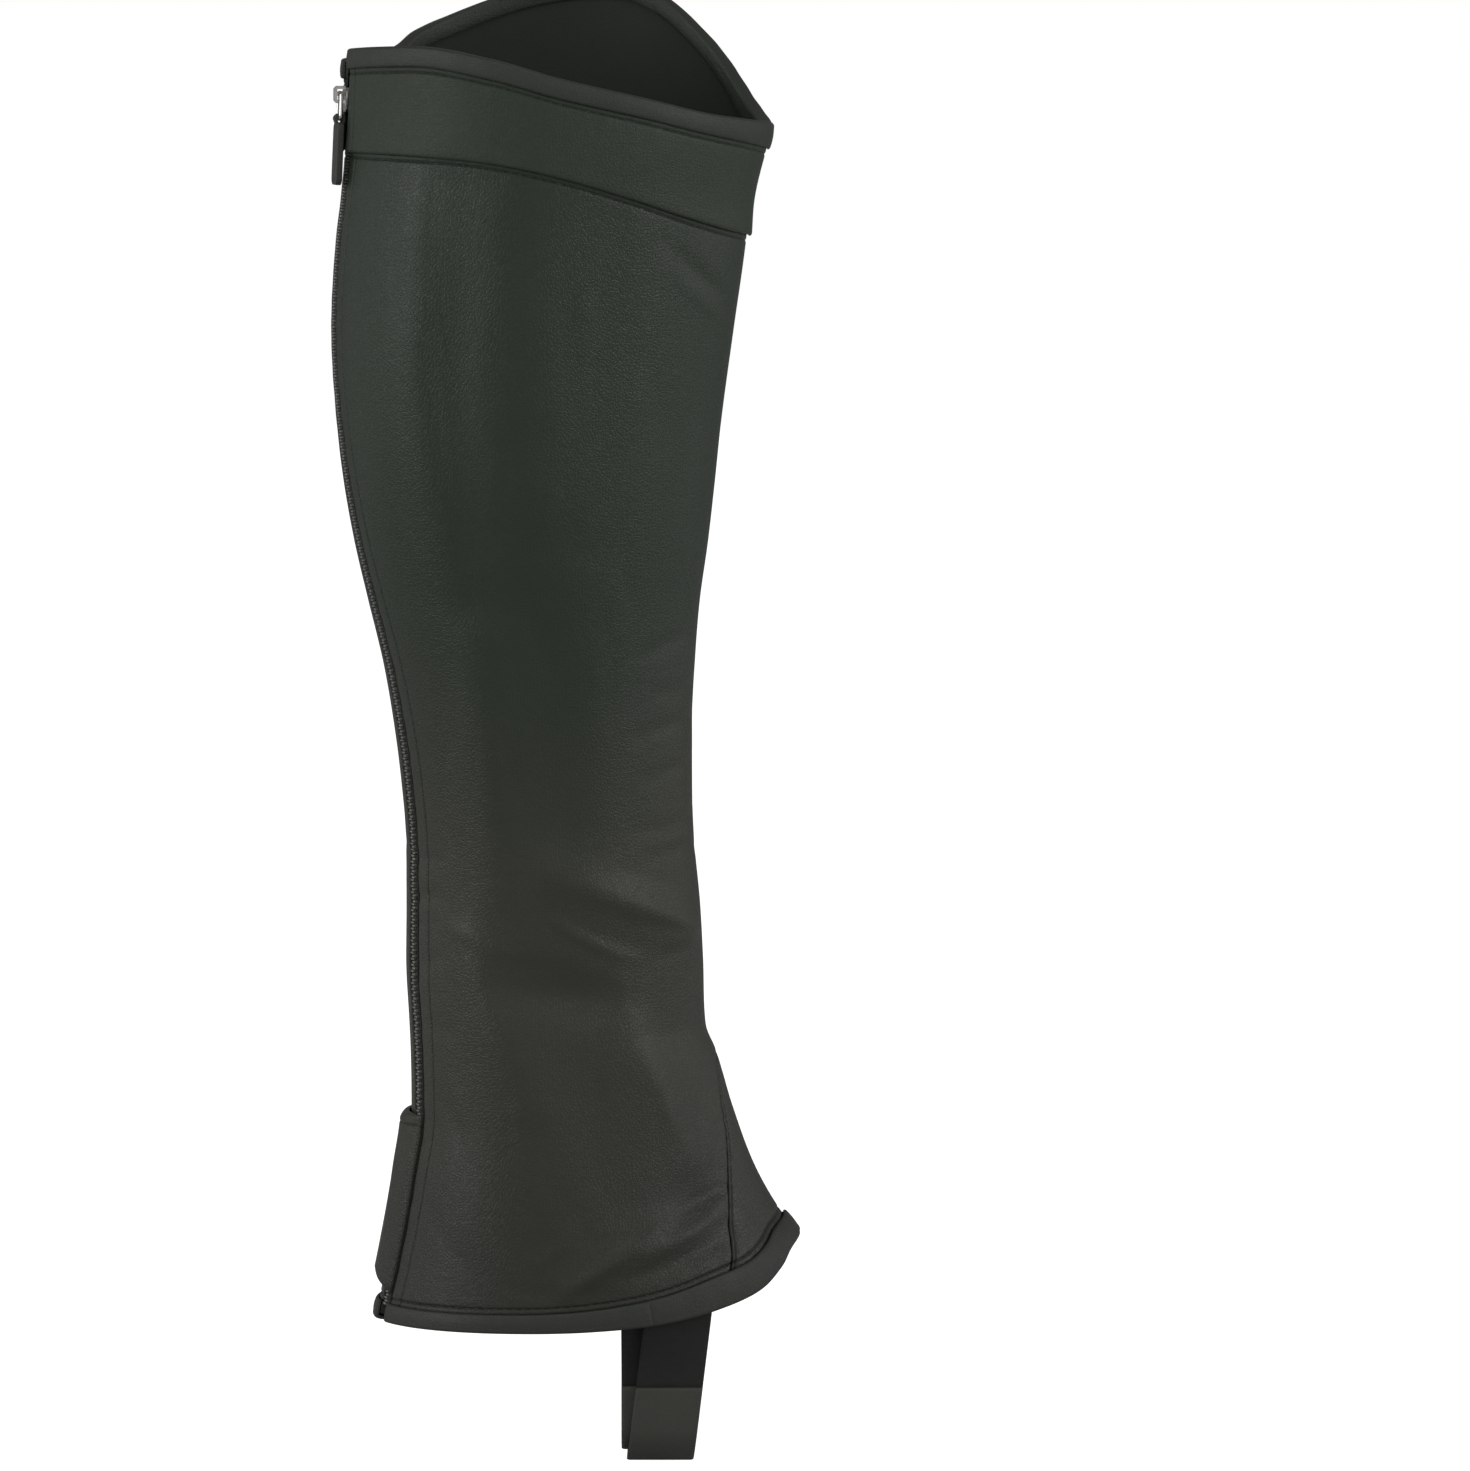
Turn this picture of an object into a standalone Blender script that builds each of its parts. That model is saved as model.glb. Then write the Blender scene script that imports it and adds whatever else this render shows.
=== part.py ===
# A half chap: a gaiter of smooth dark leather that wraps the lower leg from below the knee to the ankle.
# A zip closes it behind, a triangular gusset opens it over the instep and a strap holds it under the foot.
# It is modelled as worn: a hollow wall around the space that the leg fills.
#
# The origin is on the leg's axis at the widest part of the calf. +X points to the toe, +Z goes up the leg
# and +Y points to the leg's outer side, where the rim is higher. Sizes here are millimetres. Angles are
# degrees round the leg: 0 at the shin, 90 at the inner side, 180 at the back, 270 at the outer side.
import math
from collections import namedtuple

import bmesh
import bpy
import numpy as np
from mathutils import Matrix, Vector

MM = 0.001

# leather, tape and elastic
PANEL_WALL = 1.6
BAND_WALL = 1.2
BINDING_WALL = 1.0
GUSSET_WALL = 1.4
FLAP_WALL = 1.3
TAPE_WALL = 1.0
ELASTIC_WALL = 1.4
STRAP_LEATHER = 1.6
SEAM_GAP = 0.35          # between two pieces that are sewn to each other
BAND_GAP = 0.65          # between the panel and the band laid on it
BINDING_GAP = 0.5        # between a binding and what it wraps
FOLD_GAP = 1.0           # between a piece's edge and the binding folded over it

# zip
CHAIN_WIDTH = 4.8
CHAIN_BACK = -1.5        # inner and outer face of the teeth, measured from the panel's outer face
CHAIN_FRONT = 0.5
CHAIN_BEVEL = 0.5
ZIP_OPENING = 8.4        # between the two edges of the panel
TAPE_WIDTH = 14.0
TAPE_TOP = 85.3
TAPE_FOOT = -333.4
CHAIN_TOP = 72.0
CHAIN_FOOT = -336.5

# slider and pull: across the zip, down it and out from the panel's face
PIVOT_HEIGHT = 81.5      # the hinge of the pull, in the slider's bail
PIVOT_OUT = 3.8
SLIDER_WIDTH = 7.4
SLIDER_FOOT_WIDTH = 5.8
SLIDER_UP = 1.7          # the slider reaches this far above the hinge and this far below it
SLIDER_DOWN = 6.5
SLIDER_BACK = -1.3
SLIDER_FRONT = 2.4
BAIL_WIDTH = 2.0
BAIL_FRONT = 6.0
BAIL_THICK = 1.1
BAIL_HOLE_UP = 1.2
BAIL_HOLE_DOWN = 2.5
RING_WIRE = 1.3
RING_HALF_WIDTH = 3.0    # to the middle of the wire
RING_LENGTH = 9.0        # from the hinge to the middle of the lower bar
RING_CORNER = 1.2
TAB_WIDTH = 10.0
TAB_TOP = 10.1           # distances below the hinge
TAB_FOOT = 31.5
TAB_THICK = 2.2
TAB_CORNER = 2.4
NECK_WIDTH = 4.0
NECK_RADIUS = 1.9
NECK_BORE = 1.05
TAB_LEAN = 2.5           # degrees that the pull leans out at rest, over the band's edge

# grid of the main panel
COLUMNS = 22             # across each half of the panel, from the shin to the zip
LOWER_ROWS = 10          # beside the gusset
UPPER_ROWS = 24          # above it
GUSSET_COLUMNS = 20
GUSSET_TOP = 0.85        # share of the last row that the gusset's point fills
GUSSET_APEX = -246.7

# strap under the foot
STRAP_WIDTH = 23.0
STRAP_TOP = -318.0
LEATHER_TOP = -362.0
ELASTIC_END = -371.0
STRAP_BOTTOM = -389.0
STRAP_HALF_SPAN = 33.0   # from the middle of the foot to the strap's outer face
STRAP_CORNER = 13.0      # radius of its outer face where it turns under the foot
STRAP_TURN = -369.0      # the straight part ends here
STRAP_INNER_AT = 42.1    # along the foot: middle of the inner layer
STRAP_OUTER_AT = 50.1    # and of the outer layer, where it leaves the hem at STRAP_FREE
STRAP_OUTER_LEAN = 0.1224
STRAP_FREE = -338.0
STRAP_LEAVES = -333.0    # from here down it swings from the hem's wall to its own span
STRAP_SWING = 27.0
STRAP_HELD = -341.0      # it follows the wall no lower than this
HEM_INSET = 1.8          # a layer lies this much deeper inside the hem than on the loop below
STRAP_LAYER = STRAP_LEATHER + ELASTIC_WALL + 2 * SEAM_GAP

Section = namedtuple("Section", "height back front half_width egg")
SECTIONS = [
    Section(122, -60.5, 81.4, 59.5, 0.10),
    Section(97, -62.0, 81.2, 59.5, 0.10),
    Section(71, -63.2, 80.2, 59.3, 0.10),
    Section(45, -65.6, 74.6, 59.0, 0.11),
    Section(31, -67.3, 73.5, 58.7, 0.12),
    Section(0, -69.0, 69.2, 58.0, 0.12),
    Section(-31, -67.3, 65.0, 56.5, 0.11),
    Section(-52, -64.9, 62.8, 54.8, 0.10),
    Section(-73, -61.2, 60.4, 52.3, 0.09),
    Section(-93, -56.6, 57.6, 49.6, 0.08),
    Section(-114, -51.6, 55.9, 47.0, 0.08),
    Section(-135, -48.0, 54.9, 44.8, 0.08),
    Section(-155, -45.5, 54.9, 43.0, 0.08),
    Section(-176, -43.9, 55.6, 41.6, 0.08),
    Section(-197, -43.8, 57.6, 40.6, 0.09),
    Section(-217, -44.0, 58.7, 40.0, 0.10),
    Section(-240, -42.9, 59.6, 39.8, 0.12),
    Section(-250, -42.5, 63.6, 39.9, 0.14),
    Section(-269, -42.3, 69.3, 40.3, 0.17),
    Section(-290, -45.2, 77.2, 41.3, 0.20),
    Section(-305, -47.6, 85.8, 42.2, 0.23),
    Section(-321, -50.6, 98.4, 43.2, 0.26),
    Section(-342, -55.0, 107.5, 44.5, 0.29),
]

# The rim's height and the height of the top band's lower edge, on the inner side and on the outer side,
# where the rim sweeps up into a high crest.
Rim = namedtuple("Rim", "angle height band_edge")
INNER_RIM = [
    Rim(0, 71.2, 32.5),
    Rim(27, 72.9, 35.2),
    Rim(46, 75.3, 39.7),
    Rim(66, 80.5, 46.6),
    Rim(89, 87.0, 54.3),
    Rim(106, 93.0, 58.3),
    Rim(131, 97.6, 60.6),
    Rim(175, 96.2, 61.5),
]
OUTER_RIM = [
    Rim(165, 93.0, 61.5),
    Rim(200, 93.6, 61.8),
    Rim(213, 95.2, 62.6),
    Rim(219, 97.6, 63.6),
    Rim(224, 101.6, 65.0),
    Rim(236, 107.4, 69.0),
    Rim(261, 117.6, 79.0),
    Rim(283, 120.8, 84.0),
    Rim(297, 115.8, 79.5),
    Rim(315, 99.8, 62.5),
    Rim(335, 79.8, 42.0),
    Rim(351, 72.2, 33.6),
    Rim(360, 71.2, 32.5),
]

# The hem's height and the height of its binding, from the shin to the back. Both sides are alike.
Hem = namedtuple("Hem", "angle height binding")
HEM = [
    Hem(0, -312.0, 6.8),
    Hem(25, -317.0, 7.4),
    Hem(36, -322.9, 8.4),
    Hem(46, -329.0, 10.0),
    Hem(58, -333.9, 10.8),
    Hem(75, -338.8, 9.4),
    Hem(90, -340.6, 7.8),
    Hem(110, -341.4, 6.7),
    Hem(140, -341.5, 6.5),
    Hem(180, -341.5, 6.5),
]

# How deep the binding over the rim is, from the shin to the back.
RimBinding = namedtuple("RimBinding", "angle depth")
RIM_BINDING = [
    RimBinding(0, 8.8),
    RimBinding(22, 8.0),
    RimBinding(50, 7.0),
    RimBinding(180, 7.0),
]

ZipLine = namedtuple("ZipLine", "height angle")
ZIP_LINE = [
    ZipLine(122, 169.0),
    ZipLine(0, 169.0),
    ZipLine(-52, 166.0),
    ZipLine(-116, 162.0),
    ZipLine(-150, 160.5),
    ZipLine(-269, 161.0),
    ZipLine(-342, 166.0),
]

GussetSeam = namedtuple("GussetSeam", "height angle")
GUSSET_SEAM = [
    GussetSeam(-342.0, 66.0),
    GussetSeam(-321.5, 53.8),
    GussetSeam(-307.0, 44.5),
    GussetSeam(-291.0, 33.5),
    GussetSeam(-277.0, 24.5),
    GussetSeam(-261.0, 17.0),
    GussetSeam(-252.0, 10.0),
    GussetSeam(GUSSET_APEX, 0.0),
]

# The largest folds: each runs from one angle and height to another, rises (or sinks) by its depth
# and fades over its half width. The first twelve are on the inner side, the others on the outer side.
Fold = namedtuple("Fold", "angle height to_angle to_height half_width depth")
FOLDS = [
    Fold(114, 50, 107, -90, 10.5, -2.8),
    Fold(97, 92, 88, -20, 12.0, 1.0),
    Fold(72, 44, 68, -70, 12.0, -1.2),
    Fold(92, -75, 90, -165, 15.0, -2.3),
    Fold(110, -104, 114, -190, 8.5, 1.2),
    Fold(88, -184, 24, -206, 8.5, 2.2),
    Fold(108, -223, 64, -228, 9.0, -2.8),
    Fold(86, -240, 80, -296, 11.0, -1.5),
    Fold(123, -208, 106, -262, 9.5, 1.6),
    Fold(62, -226, 50, -280, 9.0, 1.5),
    Fold(97, -326, 66, -306, 6.5, 1.6),
    Fold(62, -300, 42, -292, 6.0, -1.2),
    Fold(241, 30, 243, -96, 9.5, -2.0),
    Fold(256, 45, 259, -88, 9.0, 1.2),
    Fold(268, 70, 272, -140, 12.0, -1.7),
    Fold(262, -188, 332, -200, 8.5, 2.0),
    Fold(266, -207, 306, -216, 9.0, -2.3),
    Fold(270, -236, 276, -288, 11.0, -1.5),
    Fold(243, -200, 249, -246, 10.0, 1.4),
    Fold(263, -322, 298, -306, 6.5, 1.4),
]
GIRTH_PER_DEGREE = 0.92  # mm round the leg for one degree, on average

FlapColumn = namedtuple("FlapColumn", "along outer")
FLAP = [                 # mm round the leg from the panel's edge, and how far the flap stands out there
    FlapColumn(0.4, 0.3),
    FlapColumn(1.5, 2.5),
    FlapColumn(4.5, 3.3),
    FlapColumn(9.0, 3.8),
    FlapColumn(14.0, 4.1),
    FlapColumn(19.0, 3.9),
    FlapColumn(25.0, 3.3),
    FlapColumn(31.0, 2.5),
]
FLAP_TOP = -269.6
FLAP_BOTTOM_AT_SEAM = -331.5
FLAP_BOTTOM_BEHIND = -326.0
FLAP_ROWS = 10
FLAP_ROLL = [0.35, 0.8]  # how far the two rows at its rolled top edge stand out, as a share
FLAP_ROLL_DROP = 1.6     # mm between those rows
FLAP_SEATED = 1.75       # nearest that its outer face comes to the panel behind the zip


def smooth(table, column, at):
    """A curve through a table's rows that never overshoots them."""
    rows = sorted(table, key=lambda row: row[0])
    x = np.array([row[0] for row in rows], float)
    y = np.array([getattr(row, column) for row in rows], float)
    step = np.diff(x)
    slope = np.diff(y) / step
    tangent = np.concatenate([[slope[0]], (slope[:-1] + slope[1:]) / 2, [slope[-1]]])
    turning = slope[:-1] * slope[1:] <= 0
    tangent[1:-1][turning] = 0
    limit = 3 * np.minimum(np.abs(slope[:-1]), np.abs(slope[1:]))
    tangent[1:-1] = np.clip(tangent[1:-1], -limit, limit)
    at = np.clip(np.asarray(at, float), x[0], x[-1])
    i = np.clip(np.searchsorted(x, at) - 1, 0, len(step) - 1)
    t = (at - x[i]) / step[i]
    rise = step[i] * ((t - 2 * t**2 + t**3) * tangent[i] + (t**3 - t**2) * tangent[i + 1])
    return y[i] + (y[i + 1] - y[i]) * t * t * (3 - 2 * t) + rise


def fold_depth(angle, height):
    total = np.zeros(np.broadcast(angle, height).shape)
    for fold in FOLDS:
        along = (fold.to_angle - fold.angle) * GIRTH_PER_DEGREE
        down = fold.to_height - fold.height
        length = math.hypot(along, down)
        x = (angle - fold.angle) * GIRTH_PER_DEGREE
        z = height - fold.height
        t = np.clip((x * along + z * down) / length**2, 0, 1)
        off = np.hypot(x - t * along, z - t * down)
        total += fold.depth * np.exp(-((off / fold.half_width) ** 2)) * (0.55 + 0.45 * np.sin(math.pi * t))
    return total


def plain_surface(angle, height):
    """The panel's outer face before its folds."""
    back, front = smooth(SECTIONS, "back", height), smooth(SECTIONS, "front", height)
    width, egg = smooth(SECTIONS, "half_width", height), smooth(SECTIONS, "egg", height)
    turn = np.radians(angle)
    x = (back + front) / 2 + (front - back) / 2 * np.cos(turn)
    y = -width * np.sin(turn) * (1 - egg * np.cos(turn))
    return np.stack(np.broadcast_arrays(x, y, np.asarray(height, float)), axis=-1)


def normal_of(face, angle, height):
    step_angle, step_height = 0.5, 0.5
    across = face(angle + step_angle, height) - face(angle - step_angle, height)
    up = face(angle, height + step_height) - face(angle, height - step_height)
    normal = np.cross(up, across)
    return normal / np.linalg.norm(normal, axis=-1, keepdims=True)


def folded_surface(angle, height):
    angle, height = np.broadcast_arrays(np.asarray(angle, float), np.asarray(height, float))
    lift = fold_depth(angle % 360, height)[..., None]
    return plain_surface(angle, height) + lift * normal_of(plain_surface, angle, height)


def surface(angle, height, out=0.0):
    """A point `out` mm outside the panel's outer face."""
    angle, height, out = np.broadcast_arrays(*(np.asarray(v, float) for v in (angle, height, out)))
    return folded_surface(angle, height) + out[..., None] * normal_of(folded_surface, angle, height)


def degrees_for(angle, height, mm):
    """How many degrees `mm` along the leg's girth is at that place."""
    ahead = plain_surface(np.asarray(angle, float) + 1, height)
    behind = plain_surface(np.asarray(angle, float) - 1, height)
    return mm * 2 / np.linalg.norm(ahead - behind, axis=-1)


def zip_angle(height):
    return smooth(ZIP_LINE, "angle", height)


def zip_edge(height, side):
    """Angle of the panel's edge beside the zip: side 1 on the inner half, -1 on the outer half."""
    middle = zip_angle(height)
    return middle - side * degrees_for(middle, height, ZIP_OPENING / 2)


def rim_height(angle, side):
    if side > 0:
        return smooth(INNER_RIM, "height", angle)
    return smooth(OUTER_RIM, "height", angle % 360.001)


def band_edge(angle, side):
    if side > 0:
        return smooth(INNER_RIM, "band_edge", angle)
    return smooth(OUTER_RIM, "band_edge", angle % 360.001)


def folded_back(angle):
    """The same angle measured from the shin on either side."""
    return 180 - np.abs(180 - np.asarray(angle, float) % 360)


def hem_height(angle):
    return smooth(HEM, "height", folded_back(angle))


def seam_angle(height):
    return smooth(GUSSET_SEAM, "angle", height)


def lower_height(angle, share):
    """Height on the panel beside the gusset: share 0 at the hem's edge, 1 at the gusset's point."""
    bottom = hem_height(angle) + BINDING_WALL + FOLD_GAP
    return bottom + (GUSSET_APEX - bottom) * share


def seam_at(share):
    """Angle of the gusset's seam on one of the lower rows."""
    angle = 30.0
    for _ in range(12):
        angle = float(seam_angle(lower_height(angle, share)))
    return angle


def side_angle(start, stop, share, side):
    """From the shin (start) to the zip's edge (stop). The outer half is counted down from 360."""
    if side > 0:
        return start + (stop - start) * share
    return 360 - start - (360 - start - stop) * share


def panel_grid(side):
    """Angles and heights of one half of the panel, a row for each height, from the hem to the rim."""
    share = np.linspace(0, 1, COLUMNS + 1)
    angles, heights = [], []
    for row in range(LOWER_ROWS):
        part = row / LOWER_ROWS
        height = np.full(COLUMNS + 1, GUSSET_APEX)
        for _ in range(8):
            angle = side_angle(seam_at(part), zip_edge(height, side), share, side)
            height = lower_height(angle, part)
        angles.append(angle)
        heights.append(height)
    for row in range(UPPER_ROWS + 1):
        part = row / UPPER_ROWS
        height = np.zeros(COLUMNS + 1)
        for _ in range(8):
            angle = side_angle(0.0, zip_edge(height, side), share, side)
            top = rim_height(angle, side) - BINDING_WALL - FOLD_GAP
            height = GUSSET_APEX + (top - GUSSET_APEX) * part
        angles.append(angle)
        heights.append(height)
    return np.array(angles), np.array(heights)


def side_columns(side, height_of):
    """Angles of the panel's columns from the shin to the zip along a line of its own heights."""
    share = np.linspace(0, 1, COLUMNS + 1)
    height = np.full(COLUMNS + 1, 60.0)
    for _ in range(8):
        angle = side_angle(0.0, zip_edge(height, side), share, side)
        height = height_of(angle, side)
    return angle


def around(inner, outer):
    """Joins the two sides' columns into one run from the zip's inner edge round to its outer edge."""
    return np.concatenate([inner[::-1], outer[1:]])


def new_object(name, colour, roughness, metallic, build):
    mesh = bpy.data.meshes.new(name)
    bm = bmesh.new()
    build(bm)
    bmesh.ops.remove_doubles(bm, verts=bm.verts, dist=1e-7)
    bmesh.ops.recalc_face_normals(bm, faces=bm.faces)
    bm.to_mesh(mesh)
    bm.free()
    mesh.shade_smooth()
    mesh.set_sharp_from_angle(angle=math.radians(40))
    material = bpy.data.materials.new(name)
    material.use_nodes = True
    shader = material.node_tree.nodes["Principled BSDF"]
    shader.inputs["Base Color"].default_value = (*colour, 1)
    shader.inputs["Roughness"].default_value = roughness
    shader.inputs["Metallic"].default_value = metallic
    mesh.materials.append(material)
    obj = bpy.data.objects.new(name, mesh)
    bpy.context.scene.collection.objects.link(obj)
    return obj


def leather(name, build):
    return new_object(name, (0.042, 0.044, 0.036), 0.42, 0.0, build)


def cloth(name, build):
    return new_object(name, (0.016, 0.018, 0.015), 0.85, 0.0, build)


def nickel(name, build):
    return new_object(name, (0.62, 0.61, 0.59), 0.28, 1.0, build)


def plastic(name, build):
    return new_object(name, (0.05, 0.05, 0.05), 0.45, 0.0, build)


def grid_faces(bm, points):
    verts = [[bm.verts.new(Vector(point) * MM) for point in row] for row in points]
    for low, high in zip(verts, verts[1:]):
        strip_faces(bm, low, high)
    return verts


def strip_faces(bm, first, second):
    for a, b, c, d in zip(first, first[1:], second[1:], second):
        bm.faces.new((a, b, c, d))


def wall(bm, outer, inner, open_above_row=None):
    """A closed wall between two grids. Its first column is closed only up to `open_above_row`."""
    out, back = grid_faces(bm, outer), grid_faces(bm, inner)
    strip_faces(bm, out[0], back[0])
    strip_faces(bm, out[-1], back[-1])
    last = slice(None) if open_above_row is None else slice(0, open_above_row + 1)
    strip_faces(bm, [row[0] for row in out[last]], [row[0] for row in back[last]])
    strip_faces(bm, [row[-1] for row in out], [row[-1] for row in back])


def rings_solid(bm, rings):
    """A closed solid through rings of points, with both ends capped."""
    loops = [[bm.verts.new(Vector(point) * MM) for point in ring] for ring in rings]
    for first, second in zip(loops, loops[1:]):
        strip_faces(bm, first + first[:1], second + second[:1])
    bm.faces.new(loops[0])
    bm.faces.new(loops[-1])


def build_panel(bm):
    for side in (1, -1):
        angles, heights = panel_grid(side)
        wall(
            bm,
            surface(angles, heights),
            surface(angles, heights, -PANEL_WALL),
            open_above_row=LOWER_ROWS,
        )


def gusset_grid():
    shares = [row / LOWER_ROWS for row in range(LOWER_ROWS)]
    widths = [seam_at(share) for share in shares]
    shares.append(shares[-1] + (1 - shares[-1]) * GUSSET_TOP)
    widths.append(widths[-1] * (1 - GUSSET_TOP))
    across = np.linspace(-1, 1, GUSSET_COLUMNS + 1)
    angles, heights = [], []
    for share, width in zip(shares, widths):
        gap = degrees_for(width, lower_height(width, share), SEAM_GAP)
        angles.append(across * (width - gap))
        heights.append(lower_height(angles[-1], share))
    return np.array(angles), np.array(heights)


def build_gusset(bm):
    angles, heights = gusset_grid()
    wall(bm, surface(angles, heights), surface(angles, heights, -GUSSET_WALL))


def build_band(bm):
    """The band round the top lies on the panel, from its own lower edge to just under the rim."""
    inner_face, outer_face = BAND_GAP, BAND_GAP + BAND_WALL
    rows = 4
    grid_angles, grid_heights = [], []
    for row in range(rows + 1):
        part = row / rows

        def height_of(angle, side, part=part):
            low = band_edge(angle, side)
            return low + (rim_height(angle, side) - BINDING_WALL - FOLD_GAP - low) * part

        columns = [side_columns(side, height_of) for side in (1, -1)]
        grid_angles.append(around(*columns))
        grid_heights.append(around(height_of(columns[0], 1), height_of(columns[1], -1)))
    angles, heights = np.array(grid_angles), np.array(grid_heights)
    wall(bm, surface(angles, heights, outer_face), surface(angles, heights, inner_face))


def binding_ring(outside, inside, depth):
    """Section of a folded binding as (out, down): down from the folded edge, out from the panel's face."""
    thick = BINDING_WALL
    shoulder, half, bevel = 1.2, (thick + depth) / 2, 0.5
    return [
        (outside, depth),
        (outside, half),
        (outside, shoulder),
        (outside - bevel, 0.3),
        ((outside + inside) / 2, 0.0),
        (inside + bevel, 0.3),
        (inside, shoulder),
        (inside, half),
        (inside, depth),
        (inside + thick, depth),
        (inside + thick, half),
        (inside + thick, thick),
        (outside - thick, thick),
        (outside - thick, half),
        (outside - thick, depth),
    ]


def build_top_binding(bm):
    outside = BAND_GAP + BAND_WALL + BINDING_GAP + BINDING_WALL
    inside = -PANEL_WALL - BINDING_GAP - BINDING_WALL
    inner, outer = side_columns(1, rim_height), side_columns(-1, rim_height)
    angles = around(inner, outer)
    heights = around(rim_height(inner, 1), rim_height(outer, -1))
    rings = []
    for angle, height in zip(angles, heights):
        ring = binding_ring(outside, inside, float(smooth(RIM_BINDING, "depth", folded_back(angle))))
        rings.append([surface(angle, height - down, out) for out, down in ring])
    rings_solid(bm, rings)


def hem_columns():
    """Angles of the panel's and the gusset's columns along the hem, from zip to zip."""
    halves = [panel_grid(side)[0][0] for side in (1, -1)]
    return np.concatenate([halves[0][::-1], gusset_grid()[0][0][::-1], halves[1] - 360])


def build_hem_binding(bm):
    outside = BINDING_GAP + BINDING_WALL
    inside = -PANEL_WALL - BINDING_GAP - BINDING_WALL
    rings = []
    for angle in hem_columns():
        depth = float(smooth(HEM, "binding", folded_back(angle)))
        bottom = float(hem_height(angle))
        ring = binding_ring(outside, inside, depth)
        rings.append([surface(angle, bottom + down, out) for out, down in ring])
    rings_solid(bm, rings)


def zip_rows(foot, top):
    """Heights up the zip at the panel's own rows."""
    heights = panel_grid(1)[1][:, -1]
    clear = 3.0
    return np.concatenate([[foot], heights[(heights > foot + clear) & (heights < top - clear)], [top]])


def build_tape(bm, side):
    heights = zip_rows(TAPE_FOOT, TAPE_TOP)
    middle = zip_angle(heights)
    columns = [
        middle - side * degrees_for(middle, heights, mm)
        for mm in (SEAM_GAP / 2, ZIP_OPENING / 2, TAPE_WIDTH)
    ]
    angles = np.array(columns).T
    tall = heights[:, None]
    face = -PANEL_WALL - SEAM_GAP
    wall(bm, surface(angles, tall, face), surface(angles, tall, face - TAPE_WALL))


def build_chain(bm):
    heights = zip_rows(CHAIN_FOOT, CHAIN_TOP)
    middle = zip_angle(heights)
    half = degrees_for(middle, heights, CHAIN_WIDTH / 2)
    crown = CHAIN_FRONT - CHAIN_BEVEL
    rings = []
    for h, m, d in zip(heights, middle, half):
        left = [(-1, CHAIN_BACK), (-1, crown), (-0.5, CHAIN_FRONT)]
        right = [(-across, out) for across, out in left[::-1]]
        rings.append([surface(m + d * across, h, out) for across, out in left + right])
    rings_solid(bm, rings)


def build_flap(bm):
    """The guard over the zip's foot: it starts at the panel's inner edge and wraps round the back."""
    drops = [0.0, FLAP_ROLL_DROP, 2 * FLAP_ROLL_DROP]
    outer_rows, inner_rows = [], []
    for row in range(FLAP_ROWS + 1):
        outer, inner = [], []
        for column in FLAP:
            share = min(1.0, column.along / FLAP[4].along)
            bottom = FLAP_BOTTOM_AT_SEAM + (FLAP_BOTTOM_BEHIND - FLAP_BOTTOM_AT_SEAM) * share
            if row < 3:
                height = FLAP_TOP - drops[row]
            else:
                height = FLAP_TOP - drops[2] + (bottom - FLAP_TOP + drops[2]) * (row - 2) / (FLAP_ROWS - 2)
            edge = zip_edge(height, 1)
            angle = edge + degrees_for(edge + 8, height, column.along)
            roll = FLAP_ROLL[row] if row < 2 else 1.0
            seated = min(FLAP_SEATED, column.outer)
            out = seated + (column.outer - seated) * roll
            outer.append(surface(angle, height, out))
            inner.append(surface(angle, height, out - FLAP_WALL))
        outer_rows.append(outer)
        inner_rows.append(inner)
    wall(bm, np.array(outer_rows), np.array(inner_rows))


def wall_depth(x, height, inset):
    """Distance from the mid plane to the face `inset` mm inside the panel's outer face, at that x."""
    angles = np.linspace(20, 160, 141)
    points = surface(angles, np.full(141, height), -inset)
    return -np.interp(x, points[::-1, 0], points[::-1, 1])


def strap_centre(height, layer):
    """Where the strap's middle is along the foot: the outer layer leans back on its way down."""
    if layer == "inner":
        return STRAP_INNER_AT
    return STRAP_OUTER_AT + STRAP_OUTER_LEAN * (max(height, STRAP_BOTTOM) - STRAP_FREE)


def strap_row(station, depth, layer, points=5):
    """One row of points across the strap, `depth` mm inside its outer face."""
    kind, side, value = station
    if kind == "leg":
        x = strap_centre(value, layer) + np.linspace(-0.5, 0.5, points) * STRAP_WIDTH
        free = np.clip((STRAP_LEAVES - value) / STRAP_SWING, 0, 1)
        free = free * free * (3 - 2 * free)
        held = wall_depth(x, max(value, STRAP_HELD), depth + HEM_INSET)
        y = held * (1 - free) + (STRAP_HALF_SPAN - depth) * free
        return [(px, -side * py, value) for px, py in zip(x, y)]
    centre_y = STRAP_HALF_SPAN - STRAP_CORNER
    centre_z = STRAP_BOTTOM + STRAP_CORNER
    radius = STRAP_CORNER - depth
    y = centre_y + radius * math.cos(value)
    z = centre_z - radius * math.sin(value)
    x = strap_centre(z, layer) + np.linspace(-0.5, 0.5, points) * STRAP_WIDTH
    return [(px, -side * y, z) for px in x]


def build_elastic(bm, side, depth, layer):
    heights = np.linspace(STRAP_TOP, ELASTIC_END, 9)
    stations = [("leg", side, float(h)) for h in heights]
    outer = [strap_row(s, depth, layer) for s in stations]
    inner = [strap_row(s, depth + ELASTIC_WALL, layer) for s in stations]
    wall(bm, np.array(outer), np.array(inner))


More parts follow.
